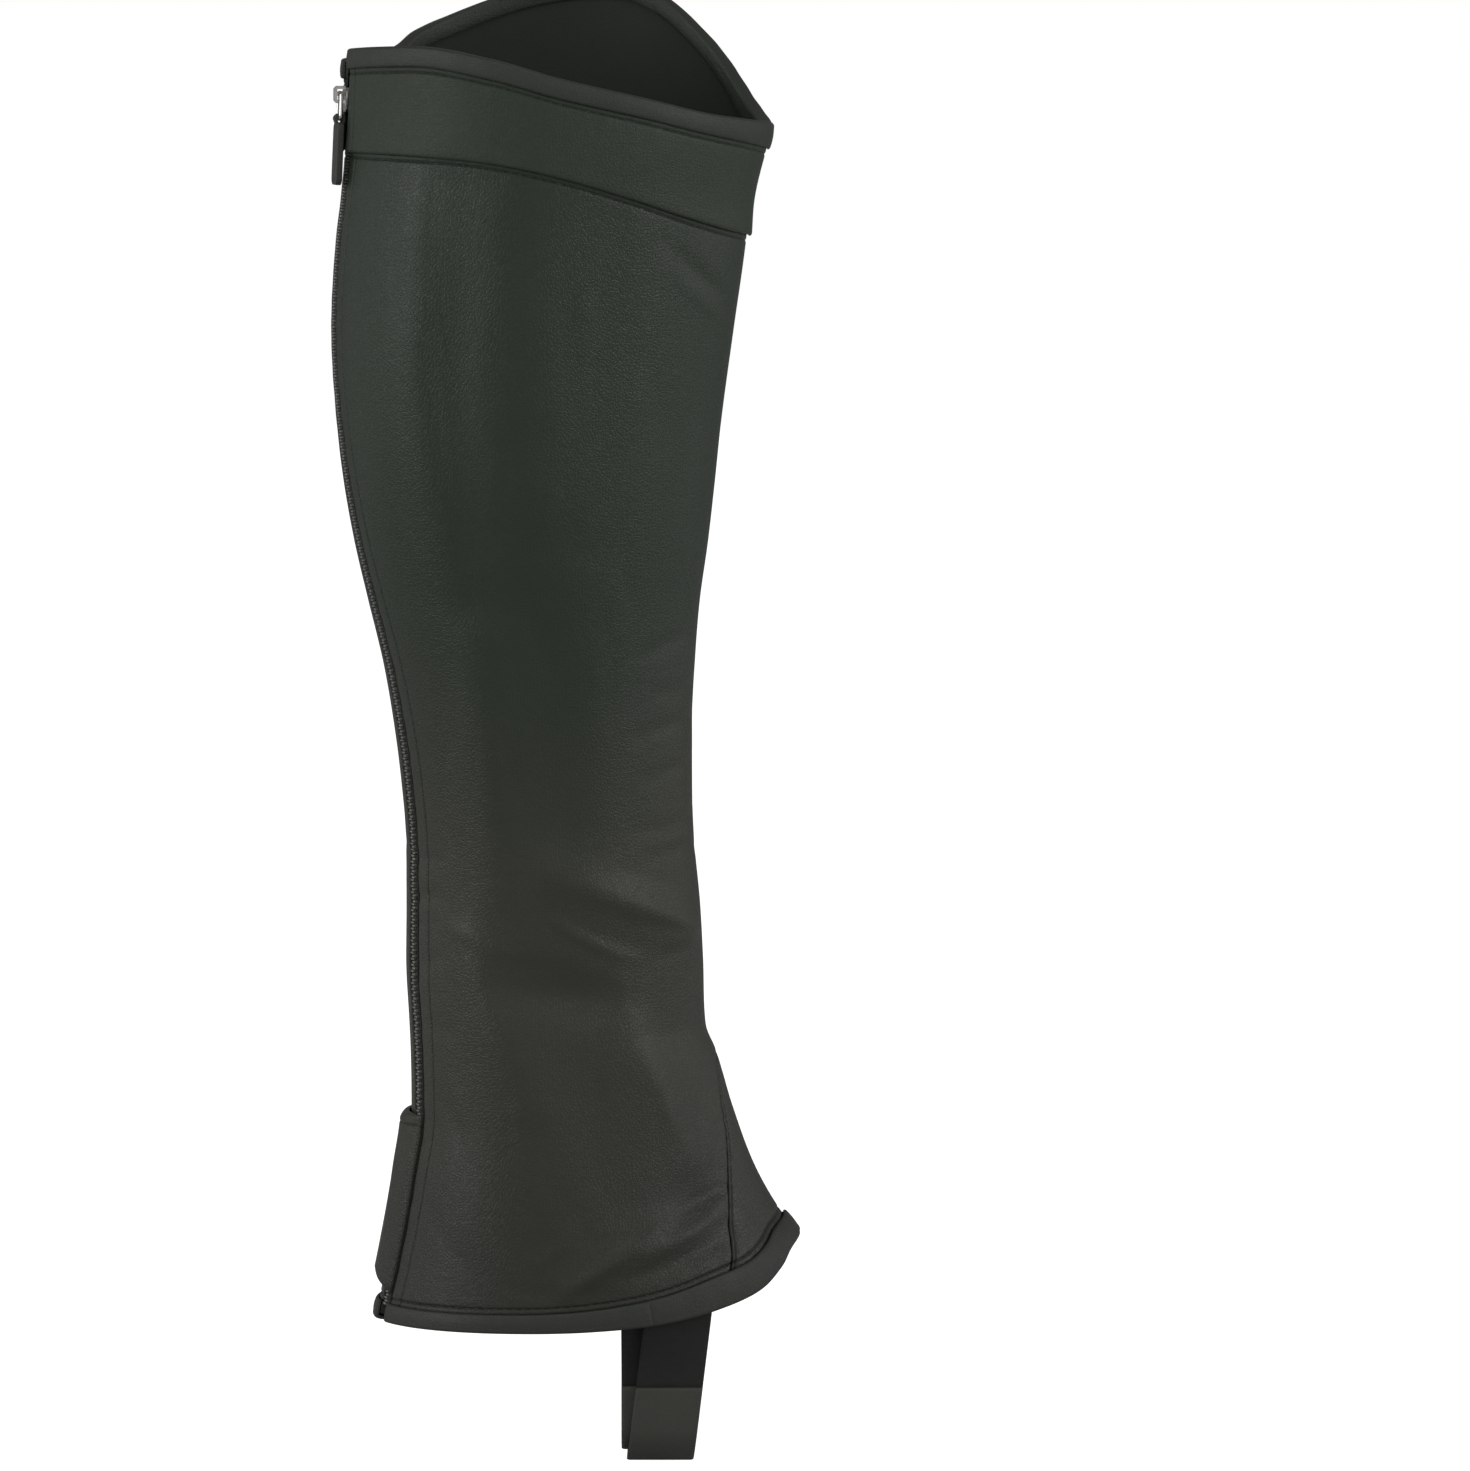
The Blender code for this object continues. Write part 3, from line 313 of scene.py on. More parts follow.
def skin(angle, height):
    angle, height = np.broadcast_arrays(np.asarray(angle, float), np.asarray(height, float))
    return foldedSurface(angle, height), normalOf(foldedSurface, angle, height)


def degreesFor(angle, height, distance):
    ahead = plainSurface(np.asarray(angle, float) + 1, height)
    behind = plainSurface(np.asarray(angle, float) - 1, height)
    return distance * 2 / np.linalg.norm(ahead - behind, axis=-1)


def zipAngle(height):
    return smooth(zipLine, "angle", height)


def zipEdge(height, side, inset=0.0):
    middle = zipAngle(height)
    return middle - side * degreesFor(middle, height, zipSettings["opening"] / 2 + inset)


def rimLine(column, angle, side):
    return smooth(innerRim, column, angle) if side > 0 else smooth(outerRim, column, angle % 360.001)


def rimHeight(angle, side):
    return rimLine("height", angle, side)


def bandEdge(angle, side):
    return rimLine("bandEdge", angle, side)


def foldedBack(angle):
    return 180 - np.abs(180 - np.asarray(angle, float) % 360)


def hemHeight(angle):
    return smooth(hem, "height", foldedBack(angle))


def hemBindingDepth(angle):
    return smooth(hem, "binding", foldedBack(angle))


def rimBindingDepth(angle):
    return smooth(rimBinding, "depth", foldedBack(angle))


def newPiece(name, bm, materials, smoothAngle=50):
    bmesh.ops.remove_doubles(bm, verts=bm.verts, dist=2e-6)
    bmesh.ops.recalc_face_normals(bm, faces=bm.faces)
    mesh = bpy.data.meshes.new(name)
    bm.to_mesh(mesh)
    bm.free()
    for material in materials:
        mesh.materials.append(material)
    mesh.shade_smooth()
    if smoothAngle:
        mesh.set_sharp_from_angle(angle=math.radians(smoothAngle))
    piece = bpy.data.objects.new(name, mesh)
    bpy.context.scene.collection.objects.link(piece)
    return piece


def gridVerts(bm, points):
    return [[bm.verts.new(Vector(point) * mm) for point in row] for row in points]


def joinRows(bm, first, second, index=0):
    for a, b, c, d in zip(first, first[1:], second[1:], second):
        face = bm.faces.new((a, b, c, d))
        face.material_index = index


def shell(bm, points, normals, front, back, backIndex=0, openFirst=None, bulge=0.18, shade=None):
    # The seamShade attribute holds painted shade for the outer face.
    layer = bm.verts.layers.float.get("seamShade") or bm.verts.layers.float.new("seamShade")
    outer = gridVerts(bm, points + normals * front[..., None])
    inner = gridVerts(bm, points + normals * back[..., None])
    if shade is not None:
        for row, values in zip(outer, shade):
            for vertex, value in zip(row, values):
                vertex[layer] = value
    for low, high in zip(outer, outer[1:]):
        joinRows(bm, low, high)
    for low, high in zip(inner, inner[1:]):
        joinRows(bm, low, high, backIndex)
    middle = points + normals * ((front + back) / 2)[..., None]

    def edge(outerLine, innerLine, line, inward):
        away = line - inward
        away = away / np.maximum(np.linalg.norm(away, axis=-1, keepdims=True), 1e-9)
        mid = [bm.verts.new(Vector(p) * mm) for p in line + away * bulge]
        joinRows(bm, outerLine, mid)
        joinRows(bm, mid, innerLine)

    edge(outer[0], inner[0], middle[0], middle[1])
    edge(outer[-1], inner[-1], middle[-1], middle[-2])
    last = len(outer) if openFirst is None else openFirst + 1
    edge([r[0] for r in outer[:last]], [r[0] for r in inner[:last]], middle[:last, 0], middle[:last, 1])
    edge([r[-1] for r in outer], [r[-1] for r in inner], middle[:, -1], middle[:, -2])


def groove(distance):
    return -seam["groove"] * np.exp(-((np.asarray(distance, float) / seam["halfWidth"]) ** 2))


def shadeLine(distance, kind="stitchLine"):
    width, amount = shadow[kind]
    return amount * np.exp(-((np.asarray(distance, float) / width) ** 2))


def puckers(along, distance, kind):
    wave, reach, depth = pucker[kind]
    uneven = 0.6 + 0.4 * np.sin(along * 0.11 + 1.3) * np.sin(along * 0.047)
    ripple = np.sin(along * 2 * math.pi / wave + 1.7 * np.sin(along * 0.09))
    return depth * uneven * ripple * np.exp(-((distance / reach) ** 2))


def makeGroup(name, inputs, outputs):
    group = bpy.data.node_groups.new(name, "ShaderNodeTree")
    for socket, kind, value in inputs:
        made = group.interface.new_socket(socket, in_out="INPUT", socket_type=kind)
        made.default_value = value
    for socket, kind in outputs:
        group.interface.new_socket(socket, in_out="OUTPUT", socket_type=kind)
    return group, group.nodes.new("NodeGroupInput"), group.nodes.new("NodeGroupOutput")


def node(tree, kind, settings=None, **values):
    made = tree.nodes.new(kind)
    for key, value in (settings or {}).items():
        setattr(made, key, value)
    for key, value in values.items():
        made.inputs[key.replace("_", " ")].default_value = value
    return made


def mathNode(tree, operation, a, b):
    made = node(tree, "ShaderNodeMath", {"operation": operation})
    for slot, value in enumerate((a, b)):
        if isinstance(value, (int, float)):
            made.inputs[slot].default_value = value
        else:
            tree.links.new(value, made.inputs[slot])
    return made.outputs[0]


# Share of the cells, of the fine grain and how fine it is beside them, and where a cell's edge ends.
grainForm = {"cells": 0.35, "fine": 0.5, "fineScale": 0.55, "cellEdge": 0.22}


def leatherGrainGroup():
    group, inlet, outlet = makeGroup(
        "leatherGrain",
        [("Vector", "NodeSocketVector", (0, 0, 0)), ("Pebble size", "NodeSocketFloat", 900.0),
         ("Crinkle size", "NodeSocketFloat", 150.0), ("Crinkle amount", "NodeSocketFloat", 0.5)],
        [("Height", "NodeSocketFloat"), ("Tone", "NodeSocketFloat")],
    )
    link = group.links.new
    warp = node(group, "ShaderNodeTexNoise", Detail=2.0)
    link(inlet.outputs["Crinkle size"], warp.inputs["Scale"])
    link(inlet.outputs["Vector"], warp.inputs["Vector"])
    pebble = node(group, "ShaderNodeTexVoronoi", {"feature": "DISTANCE_TO_EDGE"}, Randomness=0.9)
    link(inlet.outputs["Vector"], pebble.inputs["Vector"])
    link(inlet.outputs["Pebble size"], pebble.inputs["Scale"])
    cells = node(group, "ShaderNodeMapRange", {"interpolation_type": "SMOOTHSTEP"})
    cells.inputs["From Max"].default_value = grainForm["cellEdge"]
    link(pebble.outputs["Distance"], cells.inputs["Value"])
    fine = node(group, "ShaderNodeTexNoise", Detail=5.0, Roughness=0.62)
    link(inlet.outputs["Vector"], fine.inputs["Vector"])
    fineScale = mathNode(group, "MULTIPLY", inlet.outputs["Pebble size"], grainForm["fineScale"])
    link(fineScale, fine.inputs["Scale"])
    crinkle = mathNode(group, "MULTIPLY", warp.outputs["Fac"], inlet.outputs["Crinkle amount"])
    pebbles = mathNode(group, "MULTIPLY", cells.outputs["Result"], grainForm["cells"])
    pores = mathNode(group, "MULTIPLY", fine.outputs["Fac"], grainForm["fine"])
    height = mathNode(group, "ADD", mathNode(group, "ADD", pebbles, crinkle), pores)
    link(height, outlet.inputs["Height"])
    link(fine.outputs["Fac"], outlet.inputs["Tone"])
    return group


def cloudGroup():
    group, inlet, outlet = makeGroup(
        "handledPatches",
        [("Vector", "NodeSocketVector", (0, 0, 0)), ("Patch size", "NodeSocketFloat", 14.0),
         ("Contrast", "NodeSocketFloat", 1.6)],
        [("Mask", "NodeSocketFloat")],
    )
    stretch = node(group, "ShaderNodeMapping", Scale=(1.0, 1.0, 0.55))
    group.links.new(inlet.outputs["Vector"], stretch.inputs["Vector"])
    cloud = node(group, "ShaderNodeTexNoise", Detail=4.0, Roughness=0.55)
    group.links.new(stretch.outputs["Vector"], cloud.inputs["Vector"])
    group.links.new(inlet.outputs["Patch size"], cloud.inputs["Scale"])
    away = mathNode(group, "SUBTRACT", cloud.outputs["Fac"], 0.5)
    away = mathNode(group, "MULTIPLY", away, inlet.outputs["Contrast"])
    centred = mathNode(group, "ADD", away, 0.5)
    group.links.new(centred, outlet.inputs["Mask"])
    return group


def weaveGroup():
    group, inlet, outlet = makeGroup(
        "wovenRibs",
        [("Vector", "NodeSocketVector", (0, 0, 0)), ("Rib scale", "NodeSocketFloat", 900.0),
         ("Cross scale", "NodeSocketFloat", 500.0)],
        [("Height", "NodeSocketFloat"), ("Mask", "NodeSocketFloat")],
    )
    parts = []
    for direction, socket in (("Z", "Rib scale"), ("X", "Cross scale")):
        wave = node(group, "ShaderNodeTexWave", {"bands_direction": direction}, Distortion=0.6, Detail=1.0)
        group.links.new(inlet.outputs["Vector"], wave.inputs["Vector"])
        group.links.new(inlet.outputs[socket], wave.inputs["Scale"])
        parts.append(wave.outputs["Fac"])
    ribs, cross = mathNode(group, "MULTIPLY", parts[0], 0.7), mathNode(group, "MULTIPLY", parts[1], 0.3)
    height = mathNode(group, "ADD", ribs, cross)
    group.links.new(height, outlet.inputs["Height"])
    group.links.new(parts[0], outlet.inputs["Mask"])
    return group


grainGroup, patchGroup, ribGroup = leatherGrainGroup(), cloudGroup(), weaveGroup()


def placeGroup(tree, group, coordinates, **values):
    made = node(tree, "ShaderNodeGroup", {"node_tree": group}, **values)
    tree.links.new(coordinates, made.inputs["Vector"])
    return made


def startMaterial(name):
    material = bpy.data.materials.new(name)
    material.use_nodes = True
    tree = material.node_tree
    coordinates = tree.nodes.new("ShaderNodeTexCoord").outputs["Object"]
    return material, tree, tree.nodes["Principled BSDF"], coordinates


def bumpInto(tree, shader, height, strength, distance):
    bump = node(tree, "ShaderNodeBump", Strength=strength, Distance=distance)
    tree.links.new(height, bump.inputs["Height"])
    tree.links.new(bump.outputs["Normal"], shader.inputs["Normal"])


def ramp(tree, value, low, high):
    made = node(tree, "ShaderNodeMapRange", To_Min=low, To_Max=high)
    tree.links.new(value, made.inputs["Value"])
    return made.outputs["Result"]


def mixColour(tree, mask, dark, light):
    mix = node(tree, "ShaderNodeMix", {"data_type": "RGBA"})
    mix.inputs[6].default_value, mix.inputs[7].default_value = (*dark, 1), (*light, 1)
    tree.links.new(mask, mix.inputs[0])
    return mix.outputs[2]


leatherSettings = {
    "panelLeather": {
        "dark": (0.0100, 0.0198, 0.0086), "light": (0.0200, 0.0320, 0.0176), "rough": (0.32, 0.46),
        "grain": 850.0, "crinkle": 130.0, "bump": 0.5, "patch": 13.0, "lowTint": (2.05, 1.24, 1.62),
        "hemTint": (0.68, 0.67, 0.67),
    },
    "bandLeather": {
        "dark": (0.0132, 0.0244, 0.0116), "light": (0.0240, 0.0370, 0.0214), "rough": (0.40, 0.54),
        "grain": 850.0, "crinkle": 130.0, "bump": 0.52, "patch": 13.0, "lowTint": (1.0, 1.0, 1.0),
        "hemTint": (1.0, 1.0, 1.0),
    },
    "bindingLeather": {
        "dark": (0.0182, 0.0246, 0.0164), "light": (0.0290, 0.0362, 0.0262), "rough": (0.42, 0.56),
        "grain": 950.0, "crinkle": 220.0, "bump": 0.42, "patch": 30.0, "lowTint": (1.16, 1.0, 1.06),
        "hemTint": (1.0, 1.0, 1.0),
    },
    "strapLeather": {
        "dark": (0.036, 0.036, 0.030), "light": (0.052, 0.052, 0.044), "rough": (0.50, 0.64),
        "grain": 900.0, "crinkle": 170.0, "bump": 0.3, "patch": 24.0, "lowTint": (1.0, 1.0, 1.0),
        "hemTint": (1.0, 1.0, 1.0),
    },
    "liningLeather": {
        "dark": (0.0044, 0.0096, 0.0042), "light": (0.0072, 0.0140, 0.0068), "rough": (0.60, 0.75),
        "grain": 700.0, "crinkle": 110.0, "bump": 0.22, "patch": 16.0, "lowTint": (1.0, 1.0, 1.0),
        "hemTint": (1.0, 1.0, 1.0),
    },
}


# Heights in metres where the tint low down and the tint by the hem start and are full, and the painted seam
# shade.
toneSettings = {
    "low": (-0.09, -0.19), "hem": (-0.25, -0.31), "uneven": 0.5, "grainShare": 0.25, "grainDepth": 0.0004,
    "seamShadeTint": (0.28, 0.28, 0.28), "specular": 0.5, "seamShadeSpecular": 0.12,
}


# How far a point lies below a height, uneven from patch to patch, with no clear line where it starts.
def lowMask(tree, coordinates, patchMask, start, full):
    split = node(tree, "ShaderNodeSeparateXYZ")
    tree.links.new(coordinates, split.inputs["Vector"])
    height = node(tree, "ShaderNodeMapRange", From_Min=start, From_Max=full)
    tree.links.new(split.outputs["Z"], height.inputs["Value"])
    uneven = mathNode(tree, "SUBTRACT", patchMask, 0.5)
    uneven = mathNode(tree, "MULTIPLY", uneven, toneSettings["uneven"])
    made = node(tree, "ShaderNodeMath", {"operation": "ADD", "use_clamp": True})
    tree.links.new(height.outputs["Result"], made.inputs[0])
    tree.links.new(uneven, made.inputs[1])
    return made.outputs[0]


def tinted(tree, colour, mask, tint):
    mix = node(tree, "ShaderNodeMix", {"data_type": "RGBA", "blend_type": "MULTIPLY"})
    mix.inputs[7].default_value = (*tint, 1)
    tree.links.new(mask, mix.inputs[0])
    tree.links.new(colour, mix.inputs[6])
    return mix.outputs[2]


def leatherMaterial(name, look):
    material, tree, shader, coordinates = startMaterial(name)
    # Painted shade: the seamShade attribute darkens the colour and lowers the specular along seams and
    # edges.
    paintedSeamShade = node(tree, "ShaderNodeAttribute", {"attribute_name": "seamShade"}).outputs["Fac"]
    paintedSeamShade = mathNode(tree, "MINIMUM", paintedSeamShade, 1.0)
    sizes = {"Pebble_size": look["grain"], "Crinkle_size": look["crinkle"]}
    grain = placeGroup(tree, grainGroup, coordinates, **sizes)
    patches = placeGroup(tree, patchGroup, coordinates, Patch_size=look["patch"])
    share = toneSettings["grainShare"]
    tone = mathNode(tree, "MULTIPLY", patches.outputs["Mask"], 1 - share)
    tone = mathNode(tree, "ADD", tone, mathNode(tree, "MULTIPLY", grain.outputs["Tone"], share))
    colour = mixColour(tree, tone, look["dark"], look["light"])
    for place, tint in (("low", look["lowTint"]), ("hem", look["hemTint"])):
        mask = lowMask(tree, coordinates, patches.outputs["Mask"], *toneSettings[place])
        colour = tinted(tree, colour, mask, tint)
    colour = tinted(tree, colour, paintedSeamShade, toneSettings["seamShadeTint"])
    tree.links.new(colour, shader.inputs["Base Color"])
    polished, dull = look["rough"]
    tree.links.new(ramp(tree, patches.outputs["Mask"], dull, polished), shader.inputs["Roughness"])
    gloss = ramp(tree, paintedSeamShade, toneSettings["specular"], toneSettings["seamShadeSpecular"])
    tree.links.new(gloss, shader.inputs["Specular IOR Level"])
    bumpInto(tree, shader, grain.outputs["Height"], look["bump"], toneSettings["grainDepth"])
    return material


def wovenMaterial(name, dark, light, ribs, cross, bump):
    material, tree, shader, coordinates = startMaterial(name)
    weave = placeGroup(tree, ribGroup, coordinates, Rib_scale=ribs, Cross_scale=cross)
    patches = placeGroup(tree, patchGroup, coordinates, Patch_size=60.0)
    tone = mathNode(tree, "MULTIPLY", weave.outputs["Mask"], 0.6)
    tone = mathNode(tree, "ADD", tone, mathNode(tree, "MULTIPLY", patches.outputs["Mask"], 0.4))
    tree.links.new(mixColour(tree, tone, dark, light), shader.inputs["Base Color"])
    tree.links.new(ramp(tree, weave.outputs["Mask"], 0.92, 0.74), shader.inputs["Roughness"])
    bumpInto(tree, shader, weave.outputs["Height"], bump, 0.0003)
    return material


def metalMaterial(name, colour, rough, metallic):
    material, tree, shader, coordinates = startMaterial(name)
    patches = placeGroup(tree, patchGroup, coordinates, Patch_size=420.0, Contrast=2.2)
    darker = tuple(channel * 0.72 for channel in colour)
    tree.links.new(mixColour(tree, patches.outputs["Mask"], darker, colour), shader.inputs["Base Color"])
    roughness = ramp(tree, patches.outputs["Mask"], rough * 1.35, rough * 0.8)
    tree.links.new(roughness, shader.inputs["Roughness"])
    shader.inputs["Metallic"].default_value = metallic
    bumpInto(tree, shader, patches.outputs["Mask"], 0.12, 0.0001)
    return material


leathers = {name: leatherMaterial(name, look) for name, look in leatherSettings.items()}
# Dark, light, ribs along, ribs across and depth of each woven thing.
wovenSettings = {
    "strapElastic": ((0.010, 0.011, 0.0095), (0.026, 0.028, 0.024), 1150.0, 520.0, 0.5),
    "zipTape": ((0.010, 0.010, 0.009), (0.030, 0.031, 0.028), 700.0, 700.0, 0.5),
    "sewingThread": ((0.026, 0.029, 0.024), (0.060, 0.064, 0.056), 2600.0, 2600.0, 0.3),
}
wovens = {name: wovenMaterial(name, *look) for name, look in wovenSettings.items()}
toothMetal = metalMaterial("zipTeeth", (0.30, 0.30, 0.285), 0.36, 0.55)
nickelMetal = metalMaterial("polishedNickel", (0.66, 0.65, 0.62), 0.20, 1.0)
print("materials made")


# The main panel goes all round, from one side of the zip to the other.
panelSettings = {
    "columns": 76, "lowerRows": 48, "belowBand": 165, "underBand": 12, "liningIndex": 1, "noSeamNear": 99.0,
}


def hemGrooveHeight(angle):
    return hemHeight(angle) + hemBindingDepth(angle) + seam["fromEdge"]


def bandGrooveHeight(angle, side):
    return bandEdge(angle, side) - seam["fromEdge"]


def rimGrooveHeight(angle, side):
    return rimHeight(angle, side) - rimBindingDepth(angle) - seam["fromEdge"]


def bottomEdge(angle):
    return hemHeight(angle) + wall["binding"] + wall["foldGap"]


def topEdge(angle, side):
    return rimHeight(angle, side) - wall["binding"] - wall["foldGap"]


# A row is a function that gives the height at an angle, so that it can follow a curved edge.
def lifted(line, step):
    return lambda *at: line(*at) + step


def rowsBetween(low, high, count, first, last):
    return [lambda *at, p=k / count: low(*at) + (high(*at) - low(*at)) * p for k in range(first, last)]


def apexRow(angle):
    return gussetApex


def lowerRowFunctions(count):
    below = [-s for s in besideSteps[::-1]]
    rows = [bottomEdge] + [lifted(hemGrooveHeight, s) for s in below + list(grooveSteps)]
    return rows + rowsBetween(lifted(hemGrooveHeight, seam["lead"]), apexRow, count, 1, count)


# The angle at which a row meets the gusset's seam.
def seamFor(rowHeight):
    angle = 30.0
    for _ in range(12):
        angle = float(smooth(gussetSeam, "angle", rowHeight(np.array(angle))))
    return angle


def zipColumns():
    nearGroove = [seam["fromZip"] + s for s in reversed(grooveSteps)]
    return nearGroove + list(seam["zipColumns"]) + list(reversed(edgeSteps))


def columnAngles(start, heights, side, count, seamEdge):
    edges = zipEdge(heights[-1], side, np.array(zipColumns()))
    first = 360 - start if side < 0 else start
    lead = np.array([first])
    if seamEdge:
        lead = first + side * degreesFor(first, heights[0], np.array(edgeSteps))
    between = lead[-1] + (edges[0] - lead[-1]) * np.arange(1, count) / count
    return np.concatenate([lead, between, edges])


# The zip's angle depends on the height and a row's height on the angle, so they are worked out in turns.
def settle(rowHeight, firstHeight, start, side, count, seamEdge):
    angles, heights = None, np.full(2, firstHeight)
    for _ in range(4):
        angles = columnAngles(start, heights, side, count, seamEdge)
        heights = rowHeight(angles)
    return angles, heights


def panelAngles(rowHeight, start, side):
    atSide = float(rowHeight(np.array(90.0 if side > 0 else 270.0)))
    return settle(rowHeight, atSide, start, side, panelSettings["columns"], True)


def upperRowFunctions(side):
    line, top = partial(bandGrooveHeight, side=side), partial(topEdge, side=side)
    below, under = panelSettings["belowBand"], panelSettings["underBand"]
    rows = rowsBetween(apexRow, lifted(line, -seam["lead"]), below, 0, below + 1)
    rows += [lifted(line, step) for step in grooveSteps[1:] + besideSteps]
    return rows + rowsBetween(lifted(line, besideSteps[-1]), top, under, 1, under + 1)


def zipDistance(angles, heights, side):
    edge = zipEdge(heights, side)
    return side * (edge - angles) / degreesFor(edge, heights, 1.0)


def rollOff(distance):
    return -np.interp(distance, edgeSteps, edgeRoll)


def buildMainPanel():
    bm = bmesh.new()
    for side in (1, -1):
        lower = lowerRowFunctions(panelSettings["lowerRows"])
        rows = [(f, seamFor(f)) for f in lower] + [(f, 0.0) for f in upperRowFunctions(side)]
        grid = [panelAngles(f, start, side) for f, start in rows]
        angles, heights = np.array([g[0] for g in grid]), np.array([g[1] for g in grid])
        points, normals = skin(angles, heights)
        fromZip = zipDistance(angles, heights, side)
        fromSeam = np.full(angles.shape, panelSettings["noSeamNear"])
        for k in range(len(lower)):
            start = angles[k, 0]
            fromSeam[k] = np.abs(angles[k] - start) / degreesFor(start, heights[k, 0], 1.0)
        front = groove(fromZip - seam["fromZip"]) + rollOff(fromZip) + rollOff(fromSeam)
        hemLine, bandLine = hemGrooveHeight(angles), bandGrooveHeight(angles, side)
        fromHem, fromBand = heights - hemLine, heights - bandLine
        front += groove(fromHem) + groove(fromBand)
        along = angles * girthPerDegree
        front += puckers(along, fromHem, "hem") + puckers(along, fromBand, "band")
        front += puckers(heights, fromZip, "zip")
        front += puckers(heights, fromSeam, "gusset")
        back = np.full(angles.shape, -wall["panel"])
        # Painted shade in the stitch grooves and where the zip, gusset, band and hem binding meet the
        # panel.
        shade = shadeLine(fromZip - seam["fromZip"]) + shadeLine(fromZip, "zipEdge")
        shade += shadeLine(fromSeam, "edge")
        shade += shadeLine(fromHem) + shadeLine(heights - hemLine + seam["fromEdge"], "edge")
        shade += shadeLine(fromBand) + shadeLine(heights - bandLine - seam["fromEdge"], "edge")
        lining = panelSettings["liningIndex"]
        shell(bm, points, normals, front, back, lining, openFirst=len(lower), shade=shade)
    return newPiece("mainPanel", bm, [leathers["panelLeather"], leathers["liningLeather"]])


# The gusset fills the V at the front.
gussetSettings = {
    "columns": 30, "topShare": 0.85, "fine": (0.0, 0.35, 0.9, 1.15, 1.45, 1.7, 1.95, 2.25, 2.8),
    "thick": wall["gusset"] + 0.1,
}


def buildGusset():
    bm = bmesh.new()
    rows = lowerRowFunctions(panelSettings["lowerRows"])
    starts = [seamFor(f) for f in rows]
    last = rows[-1]
    share = gussetSettings["topShare"]
    rows.append(lambda a: last(a) + (gussetApex - last(a)) * share)
    starts.append(starts[-1] * (1 - share))
    fine = np.array(gussetSettings["fine"])
    angles = []
    distances = []
    for f, start in zip(rows, starts):
        atSeam = float(f(np.array(start)))
        unit = float(degreesFor(start, atSeam, 1.0))
        width = start - wall["seamGap"] * unit
        reach = min(1.0, width / unit / (2 * fine[-1]))
        side = width - fine * unit * reach
        middle = np.linspace(side[-1], -side[-1], gussetSettings["columns"] + 1)[1:-1]
        row = np.concatenate([side, middle, -side[::-1]])
        angles.append(row)
        distances.append((width - np.abs(row)) / unit)
    angles, distances = np.array(angles), np.array(distances)
    heights = np.array([f(row) for f, row in zip(rows, angles)])
    points, normals = skin(angles, heights)
    front = rollOff(distances) + groove(distances - seam["fromEdge"]) - seam["gussetSunk"]
    hemLine = hemGrooveHeight(angles)
    front += groove(heights - hemLine) + puckers(heights, distances, "gussetSide")
    # Painted shade at the gusset's seam edge, its stitch groove and above the hem binding.
    shade = shadeLine(distances, "edge") + shadeLine(distances - seam["fromEdge"])
    shade += shadeLine(heights - hemLine) + shadeLine(heights - hemLine + seam["fromEdge"], "edge")
    shell(bm, points, normals, front, np.full(angles.shape, -gussetSettings["thick"]), 1, shade=shade)
    return newPiece("instepGusset", bm, [leathers["panelLeather"], leathers["liningLeather"]])


# The band lies on the panel, round the top.
bandSettings = {"columns": 84, "rows": 13, "near": 60.0}      # "near" is a height close to the band


def sideColumns(side, heightOf, count):
    angles, _ = settle(lambda a: heightOf(a, side), bandSettings["near"], 0.0, side, count, False)
    return angles


def around(inner, outer):
    return np.concatenate([inner[::-1], outer[1:]])


def bandRows():
    rows = [lifted(bandEdge, step) for step in edgeSteps]
    lineFoot, count = lifted(rimGrooveHeight, -seam["lead"]), bandSettings["rows"]
    rows += rowsBetween(rows[-1], lineFoot, count, 1, count)
    rows += [lifted(rimGrooveHeight, step) for step in grooveSteps + besideSteps]
    return rows + [topEdge]


def buildBand():
    bm = bmesh.new()
    rows = bandRows()
    halves = {}
    for side in (1, -1):
        angles = np.array([sideColumns(side, f, bandSettings["columns"]) for f in rows])
        heights = np.array([f(a, side) for f, a in zip(rows, angles)])
        fromZip = zipDistance(angles, heights, side)
        fromFoot, fromLine = heights - bandEdge(angles, side), heights - rimGrooveHeight(angles, side)
        front = groove(fromZip - seam["fromZip"]) + rollOff(fromZip) + rollOff(fromFoot)
        front += groove(fromLine)
        along = angles * girthPerDegree
        front += puckers(along, fromFoot, "band")
        front += puckers(along, fromLine, "rim")
        # Painted shade in the stitch grooves, beside the zip and under the top binding.
        shade = shadeLine(fromZip - seam["fromZip"]) + shadeLine(fromZip, "zipEdge") + shadeLine(fromLine)
        shade += shadeLine(fromLine - seam["fromEdge"], "edge")
        halves[side] = (angles, heights, front, shade)
    angles, heights, front, shade = (
        np.concatenate([halves[1][k][:, ::-1], halves[-1][k][:, 1:]], axis=1) for k in range(4)
    )
    points, normals = skin(angles, heights)
    lift = wall["bandGap"]
    shell(bm, points, normals, front + lift + wall["band"], np.full(angles.shape, lift), shade=shade)
    return newPiece("topBand", bm, [leathers["bandLeather"]])


# Both bindings are strips folded over an edge.
bindingSettings = {
    "stations": 150, "top": 1.5, "lip": 0.3, "bulge": 0.22, "thick": 0.9, "gap": 0.25, "squareness": 0.62,
    "faceFoot": 0.7, "faceShares": (0.15, 0.35, 0.55, 0.75, 0.9), "foldTurns": (0, 12, 27, 45, 66),
    "joinAngle": 79.0, "joinStep": 0.32, "joinLength": 16.0, "joinLip": 0.75, "joinDip": -0.22,
    "joinDipWidth": 0.45, "joinRings": (1.2, 0.8, 0.45, 0.2, 0.0, -0.2, -0.45),
    "endLift": 3.0, "endRing": 0.4, "endDrop": (-0.35, -0.08), "hemProud": 0.15,
}


